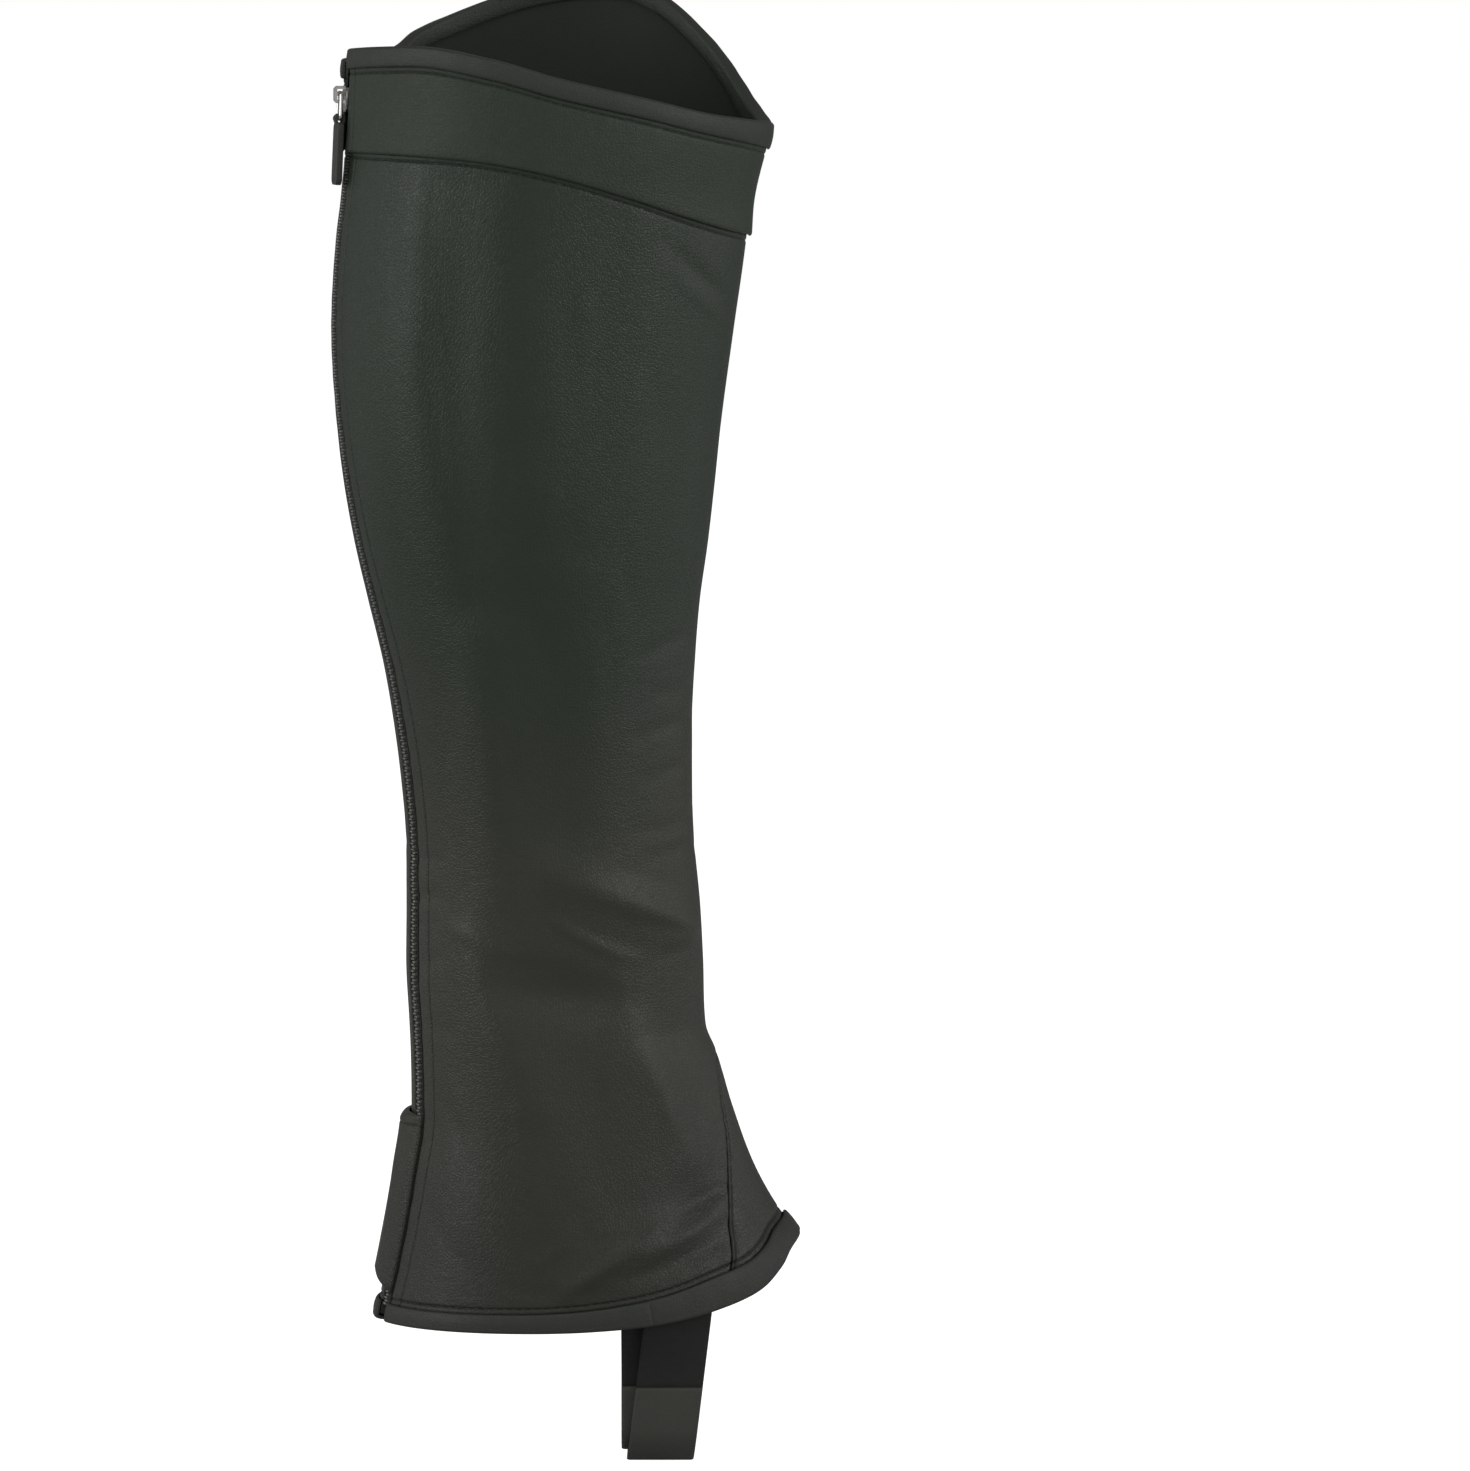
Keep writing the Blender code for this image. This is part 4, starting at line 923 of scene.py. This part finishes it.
def bindingSection(outside, inside, depth):
    look = bindingSettings
    thick, top, lip, power = look["thick"], look["top"], look["lip"], look["squareness"]
    arc = [(math.cos(t) ** power, 1 - math.sin(t) ** power) for t in np.radians(look["foldTurns"])]
    arc.append((0.0, 0.0))
    half = (outside - inside) / 2
    centre = (outside + inside) / 2
    foot = depth - look["faceFoot"]
    ring = [(outside - 2 * lip, depth), (outside - 0.6 * lip, depth - 0.25), (outside, foot)]
    ring += [(outside + look["bulge"] * math.sin(math.pi * t), foot - (foot - top) * t)
             for t in look["faceShares"]]
    ring += [(centre + half * across, top * down) for across, down in arc]
    ring += [(centre - half * across, top * down) for across, down in arc[-2::-1]]
    ring += [(inside, depth * 0.5), (inside, depth - 0.6), (inside + 0.3, depth)]
    ring += [(inside + thick, depth), (inside + thick, depth * 0.5), (inside + thick, thick + 0.25)]
    ring += [(outside - thick, thick + 0.25), (outside - thick, depth * 0.5), (outside - thick, depth)]
    return ring


def tubeFromRings(bm, rings):
    loops = gridVerts(bm, rings)
    for first, second in zip(loops, loops[1:]):
        joinRows(bm, first + first[:1], second + second[:1])
    bm.faces.new(loops[0])
    bm.faces.new(loops[-1])


def bindingRings(angles, heights, outside, inside, depths, sign, extra):
    sections = np.array([bindingSection(outside, inside, depth) for depth in depths])
    outs, downs = sections[..., 0], sections[..., 1]
    facing = np.clip((outs - inside) / (outside - inside), 0, 1)
    points, normals = skin(angles[:, None], heights[:, None] + sign * downs)
    return points + normals * (outs + extra[:, None] * facing)[..., None]


# A folded strip wavers a little along its length, and is pressed flatter at its two ends.
def unevenAlong(along):
    return (0.10 * np.sin(along * 0.83 + 0.6 * np.sin(along * 0.21)) * (0.6 + 0.4 * np.sin(along * 0.067))
            + 0.08 * np.sin(along * 0.19 + 2.0))


def endShrink(count):
    shrink = np.zeros(count)
    shrink[:2] = bindingSettings["endDrop"]
    shrink[-2:] = bindingSettings["endDrop"][::-1]
    return shrink


def buildTopBinding():
    over = bindingSettings["gap"] + bindingSettings["thick"]
    outside = wall["bandGap"] + wall["band"] + over
    inside = -wall["panel"] - over
    sides = []
    for side in (1, -1):
        angles = sideColumns(side, rimHeight, bindingSettings["stations"])
        sides.append((angles, rimHeight(angles, side)))
    angles = around(sides[0][0], sides[1][0])
    heights = around(sides[0][1], sides[1][1])
    extra = unevenAlong(angles * girthPerDegree) + endShrink(len(angles))
    bm = bmesh.new()
    tubeFromRings(bm, bindingRings(angles, heights, outside, inside, rimBindingDepth(angles), -1, extra))
    return newPiece("topBinding", bm, [leathers["bindingLeather"]], 60)


def buildHemBinding():
    look = bindingSettings
    over = look["gap"] + look["thick"]
    outside = over + look["hemProud"]
    inside = -wall["panel"] - over
    first, last = [float(zipEdge(hem[-1].height + look["endLift"], side)) for side in (1, -1)]
    last -= 360
    angles = np.linspace(first, last, 2 * look["stations"])
    joinAt = look["joinAngle"]
    joinRings = [joinAt + offset for offset in look["joinRings"]]
    endRings = [first - look["endRing"], last + look["endRing"]]
    angles = np.sort(np.concatenate([angles, endRings, joinRings]))[::-1]
    past = (angles - joinAt) * girthPerDegree
    lip = np.clip(past / look["joinLip"], 0, 1) ** 0.5
    join = look["joinStep"] * np.exp(-past / look["joinLength"]) * lip
    dip = look["joinDip"] * np.exp(-((past / look["joinDipWidth"]) ** 2))
    join = np.where(past > 0, join, dip)
    extra = unevenAlong(angles * girthPerDegree + 40) + join + endShrink(len(angles))
    heights = hemHeight(angles)
    bm = bmesh.new()
    tubeFromRings(bm, bindingRings(angles, heights, outside, inside, hemBindingDepth(angles), 1, extra))
    return newPiece("hemBinding", bm, [leathers["bindingLeather"]], 60)


# The guard covers the zip's foot. Each column is a distance from the zip's edge and how far out it stands.
FlapColumn = namedtuple("FlapColumn", "along outer")
flapSettings = {
    "columns": [FlapColumn(*row) for row in (
        (0.4, 0.2), (2.2, 1.6), (5.0, 2.7), (9.0, 3.5), (14.0, 4.0), (19.0, 3.9), (25.0, 3.3), (31.0, 2.5),
    )],
    "top": -269.6, "bottomAtSeam": -331.5, "bottomBehind": -326.0, "seated": 1.75, "rollLength": 3.2,
    "rows": 44, "steps": 40, "stitchDrop": 3.9, "flatTo": 14.0, "near": 0.4, "far": 31.0,
    "topDrops": (0.0, 0.35, 0.9, 1.6, 2.4, 3.2, 3.5, 3.7, 3.9, 4.1, 4.3, 4.7), "lastStep": 0.006,
    "sag": 0.22, "sagWave": 0.55, "sagSlant": 0.05, "sagAt": 30, "sagReach": 26, "sagFrom": 3, "turn": 8,
}


def flapRows(look, alongs):
    tops = [look["top"] - drop + 0 * alongs for drop in look["topDrops"]]
    away = np.minimum(1, alongs / look["flatTo"])
    bottoms = look["bottomAtSeam"] + (look["bottomBehind"] - look["bottomAtSeam"]) * away
    shares = np.arange(1, look["rows"] + 3) / (look["rows"] + 2)
    shares[-2] += look["lastStep"]
    return np.array(tops + [tops[-1] + (bottoms - tops[-1]) * share for share in shares]), bottoms


def buildFlap():
    look = flapSettings
    near, far = look["near"], look["far"]
    between = np.linspace(2.0, far - 0.9, look["steps"])
    alongs = np.concatenate([near + np.array(edgeSteps), between, [far - edgeSteps[1], far]])
    outs = smooth(look["columns"], "outer", alongs)
    heights, bottoms = flapRows(look, alongs)
    edge = zipEdge(heights, 1)
    angles = edge + degreesFor(edge + look["turn"], heights, alongs)
    drop = look["top"] - heights
    roll = 0.35 + 0.65 * np.sin(np.clip(drop / look["rollLength"], 0, 1) * math.pi / 2)
    seated = np.minimum(look["seated"], outs)
    front = seated + (outs - seated) * roll
    front = front + rollOff(drop) + rollOff(heights - bottoms) + rollOff(far - alongs) * 0.6
    front = front + groove(drop - look["stitchDrop"]) * (alongs > 2.0)
    sag = np.sin(alongs * look["sagWave"] + look["sagSlant"] * drop)
    sag = sag * np.exp(-((drop - look["sagAt"]) / look["sagReach"]) ** 2) * (alongs > look["sagFrom"])
    front = front + look["sag"] * sag
    points, normals = skin(angles, heights)
    back = np.minimum(front, outs) - wall["flap"]
    # Painted shade along the guard's edge by the panel and in its stitch line.
    shade = shadeLine(alongs - near, "guardEdge") + shadeLine(drop - look["stitchDrop"], "guardLine")
    bm = bmesh.new()
    shell(bm, points, normals, front, back, 1, shade=shade)
    return newPiece("zipGuardFlap", bm, [leathers["panelLeather"], leathers["liningLeather"]])


def buildTape(name, side):
    look = zipSettings
    heights = np.linspace(look["tapeFoot"], look["tapeTop"], look["tapeRows"])
    middle = zipAngle(heights)
    across = [wall["seamGap"] / 2, *look["tapeColumns"], look["tapeWidth"]]
    angles = np.array([middle - side * degreesFor(middle, heights, d) for d in across]).T
    tall = np.repeat(heights[:, None], len(across), axis=1)
    points, normals = skin(angles, tall)
    face = -wall["panel"] - wall["seamGap"]
    nearTeeth = np.array(across) < look["rippleTo"]
    front = face + look["ripple"] * np.sin(tall * look["rippleWave"]) * nearTeeth
    bm = bmesh.new()
    shell(bm, points, normals, front, np.full(angles.shape, face - wall["tape"]), bulge=0.05)
    return newPiece(name, bm, [wovens["zipTape"]])


def buildTeeth():
    look = zipSettings
    bm = bmesh.new()
    count = int((look["chainTop"] - look["chainFoot"]) / look["toothPitch"])
    for side in (1, -1):
        tall = look["chainFoot"] + (np.arange(count) + toothForm["stagger"][side]) * look["toothPitch"]
        middles = zipAngle(tall)
        points, normals = skin(middles, tall)
        aheads = (skin(middles + 0.5, tall)[0] - points) * side
        for point, normal, ahead in zip(points, normals, aheads):
            across = Vector(ahead).normalized()
            out = Vector(normal)
            up = across.cross(out)
            if up.z < 0:
                up = -up
            rings = []
            for position, share in toothForm["profile"]:
                reach = -look["toothReach"] + (position + 1) / 2 * (look["toothReach"] + look["toothNose"])
                half = look["toothTall"] / 2 * share
                drop = toothForm["endDrop"] if abs(position) == 1.0 else 0.0
                base = Vector(point) + across * -reach
                placed = [(u * half, o - drop * (o > -1)) for u, o in toothForm["section"]]
                rings.append([tuple(base + up * u + out * o) for u, o in placed])
            tubeFromRings(bm, np.array(rings))
    return newPiece("zipTeeth", bm, [toothMetal], 45)


def buildCords():
    look = zipSettings
    bm = bmesh.new()
    for side in (1, -1):
        heights = np.linspace(look["chainFoot"], look["chainTop"], look["cordSteps"])
        middle = zipAngle(heights)
        points, normals = skin(middle - side * degreesFor(middle, heights, look["cordAt"]), heights)
        aside = np.cross(normals, (0.0, 0.0, 1.0))
        aside = aside / np.linalg.norm(aside, axis=1, keepdims=True)
        twist = np.sin(np.arange(look["cordSteps"]) * 1.7)
        radius = look["cordRadius"] * (1 + look["cordBumps"] * twist)[:, None]
        ring = [points + normals * (-1.0 + radius * math.cos(t)) + aside * radius * math.sin(t)
                for t in np.linspace(0, 2 * math.pi, 9)[:-1]]
        tubeFromRings(bm, np.stack(ring, axis=1))
    return newPiece("zipCords", bm, [wovens["zipTape"]], 60)


# The strap is a loop below the hem: two layers, each with elastic at both sides and leather between.
strapSettings = {
    "width": 23.0, "top": -318.0, "leatherTop": -362.0, "elasticEnd": -371.0, "bottom": -389.0,
    "halfSpan": 33.0, "corner": 13.0, "turn": -369.0, "innerAt": 42.1, "outerAt": 50.1, "outerLean": 0.1224,
    "free": -338.0, "leaves": -333.0, "swing": 27.0, "held": -341.0, "hemInset": 1.8,
    "elasticRows": 110, "ribs": 0.05, "topDrops": (0.0, 0.35, 0.9, 1.6, 2.3),
    "nearEdge": (-0.5, -0.482, -0.455, -0.43, -0.415, -0.40, -0.385, -0.36),
}
strapLayer = wall["strap"] + wall["elastic"] + 2 * wall["seamGap"]


@lru_cache(maxsize=None)
def wallAt(height):
    return skin(np.linspace(20, 160, 141), height)


def wallDepth(x, height, inset):
    points, normals = wallAt(height)
    points = points - normals * inset
    return -np.interp(x, points[::-1, 0], points[::-1, 1])


def strapCentre(height, layer):
    look = strapSettings
    if layer == "inner":
        return look["innerAt"]
    return look["outerAt"] + look["outerLean"] * (max(height, look["bottom"]) - look["free"])


def strapRow(station, depth, layer, across):
    look = strapSettings
    kind, side, value = station
    if kind == "straight":
        x = strapCentre(value, layer) + across * look["width"]
        free = np.clip((look["leaves"] - value) / look["swing"], 0, 1)
        free = free * free * (3 - 2 * free)
        held = wallDepth(x, max(value, look["held"]), depth.mean() + look["hemInset"])
        held = held - (depth - depth.mean())
        y = held * (1 - free) + (look["halfSpan"] - depth) * free
        return np.stack([x, -side * y, np.full(len(x), value)], axis=1)
    radius = look["corner"] - depth
    y = look["halfSpan"] - look["corner"] + radius * math.cos(value)
    z = look["bottom"] + look["corner"] - radius * math.sin(value)
    x = strapCentre(float(z.mean()), layer) + across * look["width"]
    return np.stack([x, -side * y, z], axis=1)


strapNear = np.array(strapSettings["nearEdge"])
strapAcross = np.concatenate([strapNear, np.linspace(-0.3, 0.3, 13), -strapNear[::-1]])


def strapShell(name, stations, depth, thick, layer, material):
    fromSide = (0.5 - np.abs(strapAcross)) * strapSettings["width"]
    roll = np.interp(fromSide, edgeSteps, edgeRoll)
    outer, inner = [], []
    for station, extra in stations:
        outer.append(strapRow(station, depth + roll + extra, layer, strapAcross))
        inner.append(strapRow(station, depth + thick + 0 * roll, layer, strapAcross))
    bm = bmesh.new()
    outer, inner = np.array(outer), np.array(inner)
    top, under = gridVerts(bm, outer), gridVerts(bm, inner)
    for a, b in zip(top, top[1:]):
        joinRows(bm, a, b)
    for a, b in zip(under, under[1:]):
        joinRows(bm, a, b)
    for end in (0, -1):
        joinRows(bm, top[end], under[end])
    for end in (0, -1):
        joinRows(bm, [row[end] for row in top], [row[end] for row in under])
    return newPiece(name, bm, [material])


def elasticStations(side):
    look = strapSettings
    heights = np.linspace(look["top"], look["elasticEnd"], look["elasticRows"])
    return [(("straight", side, float(h)), look["ribs"] * math.sin(h * 2.6)) for h in heights]


def sleeveStations():
    look = strapSettings
    drops = np.concatenate([look["topDrops"], np.linspace(3.0, look["leatherTop"] - look["turn"], 6)])
    heights = [look["leatherTop"] - d for d in drops]
    pressed = [float(np.interp(d, edgeSteps, edgeRoll)) for d in drops]
    turns = np.linspace(0, math.pi / 2, 22)
    stations = [(("straight", 1, h), p) for h, p in zip(heights, pressed)]
    stations += [(("arc", 1, float(t)), 0.0) for t in turns[1:]]
    stations += [(("arc", -1, float(t)), 0.0) for t in turns[::-1]]
    stations += [(("straight", -1, h), p) for h, p in list(zip(heights, pressed))[::-1][1:]]
    return stations


# The leather tab of the pull, in its own flat frame: across, down from the pivot, and out.
tabSettings = {
    "pivot": (-65.043, -13.246, 81.5), "axis": (-0.209841, 0.977736, 0.0), "lean": 2.5, "width": 10.0,
    "top": 10.1, "foot": 31.5, "thick": 2.2, "corner": 2.4, "neckWidth": 4.0, "ringBar": 9.0,
    "neckRadius": 1.9, "bore": 0.95, "neckTail": 1.2, "neckHalf": 0.98, "boreHalf": 0.15, "bendSteps": 13,
    # how far in from the outline, share of the half thickness there, and how far it is pressed in
    "levels": (
        (0.0, 0.45, 0.0), (0.05, 0.85, 0.0), (0.35, 1.0, 0.0), (1.15, 1.0, 0.0), (1.4, 1.0, 0.2),
        (1.65, 1.0, 0.0), (3.2, 1.04, 0.0),
    ),
}


def tabFrame(look):
    axis = Vector(look["axis"]).normalized()
    out = axis.cross(Vector((0, 0, -1))).normalized()
    frameMatrix = Matrix((axis, Vector((0, 0, -1)), out)).transposed().to_4x4()
    place = Matrix.Translation(Vector(look["pivot"]) * mm)
    return place @ frameMatrix @ Matrix.Rotation(math.radians(look["lean"]), 4, "X")


def roundedOutline(halfWidth, top, foot, corner, steps=6):
    points = []
    for side, end, start in ((1, foot, 0), (-1, foot, 90), (-1, top, 180), (1, top, 270)):
        inward = 1 if end == top else -1
        for step in range(steps + 1):
            turn = math.radians(start + 90 * step / steps)
            points.append((side * (halfWidth - corner) + corner * math.cos(turn),
                           end + inward * corner + corner * math.sin(turn)))
    return points


def neckBend(look, radius, tail, half):
    turns = np.radians(np.linspace(90, 270, look["bendSteps"]))
    bend = [(look["ringBar"] + radius * math.cos(t), radius * math.sin(t)) for t in turns]
    return [(tail, half)] + bend + [(tail, -half)]


# The neck loops round the ring's lower bar.
def addNeck(bm, place, look):
    tail = look["top"] + look["neckTail"]
    outer = neckBend(look, look["neckRadius"], tail, look["neckHalf"])
    inner = neckBend(look, look["bore"], tail, look["boreHalf"])
    halfNeck = look["neckWidth"] / 2
    sides = ((-halfNeck, outer), (halfNeck, outer), (halfNeck, inner), (-halfNeck, inner))
    corners = [[bm.verts.new(place @ (Vector((x, y, z)) * mm)) for y, z in line] for x, line in sides]
    for first, second in zip(corners, corners[1:] + corners[:1]):
        joinRows(bm, first, second)
    bm.faces.new([line[0] for line in corners])
    bm.faces.new([line[-1] for line in corners])


def buildTab():
    look = tabSettings
    bm = bmesh.new()
    place = tabFrame(look)
    outline = np.array(roundedOutline(look["width"] / 2, look["top"], look["foot"], look["corner"]))
    centre = np.array([0.0, (look["top"] + look["foot"]) / 2])
    halfThick = look["thick"] / 2
    face = [(distance, halfThick * share - pressed) for distance, share, pressed in look["levels"]]
    levels = [(distance, -z) for distance, z in face[::-1]] + face

    def inset(distance):
        shrunk = outline.copy()
        shrunk[:, 0] = outline[:, 0] * max(0.02, 1 - distance / (look["width"] / 2))
        length = (look["foot"] - look["top"]) / 2
        shrunk[:, 1] = centre[1] + (outline[:, 1] - centre[1]) * max(0.02, 1 - distance / length)
        return shrunk

    loops = []
    for distance, z in levels:
        ring = inset(distance)
        loops.append([bm.verts.new(place @ (Vector((x, y, z)) * mm)) for x, y in ring])
    for first, second in zip(loops, loops[1:]):
        joinRows(bm, first + first[:1], second + second[:1])
    bm.faces.new(loops[0])
    bm.faces.new(loops[-1])
    addNeck(bm, place, look)
    return newPiece("pullTab", bm, [leathers["strapLeather"]])


# Where the sewing lines end, measured from the edges that they run to.
stitchSettings = {
    "zipFoot": -329.5, "belowBand": 2.4, "aboveBandFoot": 1.2, "belowRim": 9.4, "endAngle": 0.5,
    "besideGusset": 1.2, "insideGusset": 1.6, "gussetFoot": -322.0, "belowApex": 6.0, "guard": (2.4, 30.0),
    "hemEnd": -332.0, "fromZipEdge": 1.2, "space": 0.35, "wobble": 0.05,
}
# One stitch: share of its length, how thick it is there, and how high it lies.
stitchShape = (
    (0.0, 0.35, -0.32), (0.18, 0.9, -0.04), (0.5, 1.0, 0.06), (0.82, 0.9, -0.04), (1.0, 0.35, -0.32),
)


def stitchRun(bm, points, normals):
    step = np.linalg.norm(np.diff(points, axis=0), axis=1)
    length = np.concatenate([[0], np.cumsum(step)])
    pitch, radius = seam["pitch"], seam["thread"]
    count = int(length[-1] / pitch)
    for k in range(count):
        wobble = stitchSettings["wobble"] * math.sin(k * 2.4)
        space = stitchSettings["space"] * pitch * 0.5
        at = np.array([k * pitch + space, (k + 0.5) * pitch, (k + 1) * pitch - space])
        p = np.array([np.interp(at, length, points[:, i]) for i in range(3)]).T
        n = np.array([np.interp(at, length, normals[:, i]) for i in range(3)]).T
        forward = p[2] - p[0]
        forward = forward / np.linalg.norm(forward)
        rings = []
        for share, size, lift in stitchShape:
            centre = p[0] + (p[2] - p[0]) * share + n[1] * (lift + wobble * 0.3)
            aside = np.cross(n[1], forward)
            ring = [centre + radius * size * (n[1] * math.cos(t) * 0.8 + aside * math.sin(t))
                    for t in np.linspace(0, 2 * math.pi, 7)[:-1]]
            rings.append(ring)
        tubeFromRings(bm, np.array(rings))


def runOnSkin(bm, angles, heights, out):
    points, normals = skin(angles, heights)
    stitchRun(bm, points + normals * out, normals)


def buildStitches():
    look = stitchSettings
    bm = bmesh.new()
    sunk = seam["sunk"]
    bandOut = wall["bandGap"] + wall["band"] + sunk
    for side in (1, -1):
        columns = sideColumns(side, rimHeight, 160)
        short = look["endAngle"]
        a = columns[(columns > columns.min() + short) & (columns < columns.max() - short)]
        runOnSkin(bm, a, rimGrooveHeight(a, side), bandOut)
        runOnSkin(bm, a, bandGrooveHeight(a, side), sunk)
        # beside the zip, on the band and on the panel
        bandFoot = float(bandEdge(zipEdge(bandSettings["near"], side), side))
        heights = np.linspace(look["zipFoot"], bandFoot - look["belowBand"], 400)
        runOnSkin(bm, zipEdge(heights, side, seam["fromZip"]), heights, sunk)
        edge = float(zipEdge(70.0, side, seam["fromZip"]))
        foot, head = float(bandEdge(edge, side)), float(rimHeight(edge, side))
        heights = np.linspace(foot + look["aboveBandFoot"], head - look["belowRim"], 60)
        runOnSkin(bm, zipEdge(heights, side, seam["fromZip"]), heights, bandOut)
        # above the hem's binding, on the panel and on the gusset
        atSeam = seamFor(hemGrooveHeight)
        start = atSeam + look["besideGusset"]
        start = start if side > 0 else 360 - start
        a = np.linspace(start, float(zipEdge(look["hemEnd"], side, look["fromZipEdge"])), 300)
        runOnSkin(bm, a, hemGrooveHeight(a), sunk)
        # on the gusset beside its seam
        heights = np.linspace(look["gussetFoot"], gussetApex - look["belowApex"], 120)
        a = smooth(gussetSeam, "angle", heights)
        a = a - degreesFor(a, heights, wall["seamGap"] + seam["fromEdge"])
        runOnSkin(bm, a if side > 0 else 360 - a, heights, sunk - seam["gussetSunk"])
    atSeam = seamFor(hemGrooveHeight) - look["insideGusset"]
    a = np.linspace(-atSeam, atSeam, 200)
    runOnSkin(bm, a, hemGrooveHeight(a), sunk - seam["gussetSunk"])
    # across the guard's top
    alongs = np.linspace(*look["guard"], 60)
    heights = np.full(60, flapSettings["top"] - flapSettings["stitchDrop"])
    edge = zipEdge(heights, 1)
    angles = edge + degreesFor(edge + flapSettings["turn"], heights, alongs)
    points, normals = skin(angles, heights)
    outs = smooth(flapSettings["columns"], "outer", alongs)
    stitchRun(bm, points + normals * (outs + sunk)[:, None], normals)
    return newPiece("sewing", bm, [wovens["sewingThread"]], 0)


def attach(piece, body, nodes):
    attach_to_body(piece, body)
    if nodes:
        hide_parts(*nodes)
    print(piece.name, len(piece.data.polygons), "faces")


def buildStrapLayer(layer, depth):
    title = layer.capitalize()
    elasticDepth = depth + wall["strap"] + wall["seamGap"]
    for where, side in (("Medial", 1), ("Lateral", -1)):
        stations = elasticStations(side)
        cloth = wovens["strapElastic"]
        made = strapShell(f"elastic{title}{where}", stations, elasticDepth, wall["elastic"], layer, cloth)
        attach(made, "chap", [f"strap_elastic_{layer}_{where.lower()}"])
    name = f"strapLeather{title}"
    made = strapShell(name, sleeveStations(), depth, wall["strap"], layer, leathers["strapLeather"])
    attach(made, "chap", [f"strap_leather_{layer}"])


attach(buildMainPanel(), "chap", ["body_panel"])
attach(buildGusset(), "chap", ["instep_gusset"])
attach(buildBand(), "chap", ["top_band"])
attach(buildTopBinding(), "chap", ["top_binding"])
attach(buildHemBinding(), "chap", ["hem_binding"])
attach(buildFlap(), "chap", ["zip_guard_flap"])
attach(buildTape("zipTapeInner", 1), "chap", ["zip_tape_inner"])
attach(buildTape("zipTapeOuter", -1), "chap", ["zip_tape_outer"])
attach(buildTeeth(), "chap", ["zip_chain"])
attach(buildCords(), "chap", [])
buildStrapLayer("outer", 0.0)
buildStrapLayer("inner", strapLayer)
attach(buildTab(), "zip_pull", ["pull_tab"])
attach(buildStitches(), "chap", [])

# The slider and the ring keep their own shapes, in nickel. The slider's edges are rounded a little.
metalSettings = {"zip_slider": 0.25, "pull_ring": 0.0}
for name, bevelWidth in metalSettings.items():
    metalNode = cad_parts[name]
    metalNode.data.materials.clear()
    metalNode.data.materials.append(nickelMetal)
    if bevelWidth:
        bevel = metalNode.modifiers.new("softEdges", "BEVEL")
        bevel.width, bevel.segments, bevel.limit_method = bevelWidth * mm, 2, "ANGLE"
    metalNode.data.shade_smooth()
    metalNode.data.set_sharp_from_angle(angle=math.radians(50))
print("pieces built")

studio = {
    "floorDrop": 0.004, "floorSize": 14.0, "floorGlow": 1.0, "floorTone": (0.62, 0.62, 0.62, 1),
    "lights": [
        ("leftBox", (-1.8, -1.15, 0.45), 1.2, 12.4),
        ("rightBox", (1.85, -1.15, 0.5), 1.2, 11.2),
        ("leftEdge", (-2.0, 0.5, 0.1), 1.6, 4.5),
        ("rightEdge", (2.0, 0.4, 0.2), 1.6, 5.4),
        ("topBox", (0.0, -1.3, 2.0), 1.6, 10.0),
        ("frontFill", (0.3, -3.0, 0.2), 1.8, 5.5),
    ],
    "worldLight": 0.18,
}


def makeFloor(look):
    bm = bmesh.new()
    half, z = look["floorSize"] / 2, cadLow.z - look["floorDrop"]
    bm.faces.new([bm.verts.new((x * half, y * half, z)) for x, y in ((-1, -1), (1, -1), (1, 1), (-1, 1))])
    floorMesh = bpy.data.meshes.new("floor")
    bm.to_mesh(floorMesh)
    bm.free()
    floor = bpy.data.objects.new("floor", floorMesh)
    bpy.context.scene.collection.objects.link(floor)
    material = bpy.data.materials.new("paleFloor")
    material.use_nodes = True
    tree = material.node_tree
    shader = tree.nodes["Principled BSDF"]
    shader.inputs["Base Color"].default_value = look["floorTone"]
    shader.inputs["Roughness"].default_value = 0.9
    shader.inputs["Emission Color"].default_value = (1, 1, 1, 1)
    seen = tree.nodes.new("ShaderNodeLightPath").outputs["Is Camera Ray"]
    tree.links.new(ramp(tree, seen, 0.0, look["floorGlow"]), shader.inputs["Emission Strength"])
    floorMesh.materials.append(material)


def makeLamps(look):
    aim = cameraSettings["aim"]
    for name, place, size, power in look["lights"]:
        data = bpy.data.lights.new(name, "AREA")
        data.shape, data.size, data.energy = "SQUARE", size, power
        lamp = bpy.data.objects.new(name, data)
        lamp.location = place
        lamp.rotation_mode = "QUATERNION"
        lamp.rotation_quaternion = (aim - Vector(place)).to_track_quat("-Z", "Y")
        lamp.visible_camera = False
        bpy.context.scene.collection.objects.link(lamp)


def makeWorld(look):
    world = bpy.data.worlds.new("studioWorld")
    world.use_nodes = True
    tree = world.node_tree
    background = tree.nodes["Background"]
    background.inputs["Color"].default_value = (1, 1, 1, 1)
    seen = tree.nodes.new("ShaderNodeLightPath").outputs["Is Camera Ray"]
    tree.links.new(ramp(tree, seen, look["worldLight"], 1.0), background.inputs["Strength"])
    bpy.context.scene.world = world
    bpy.context.scene.view_settings.view_transform = "Standard"


makeFloor(studio)
makeLamps(studio)
makeWorld(studio)
print("studio set")
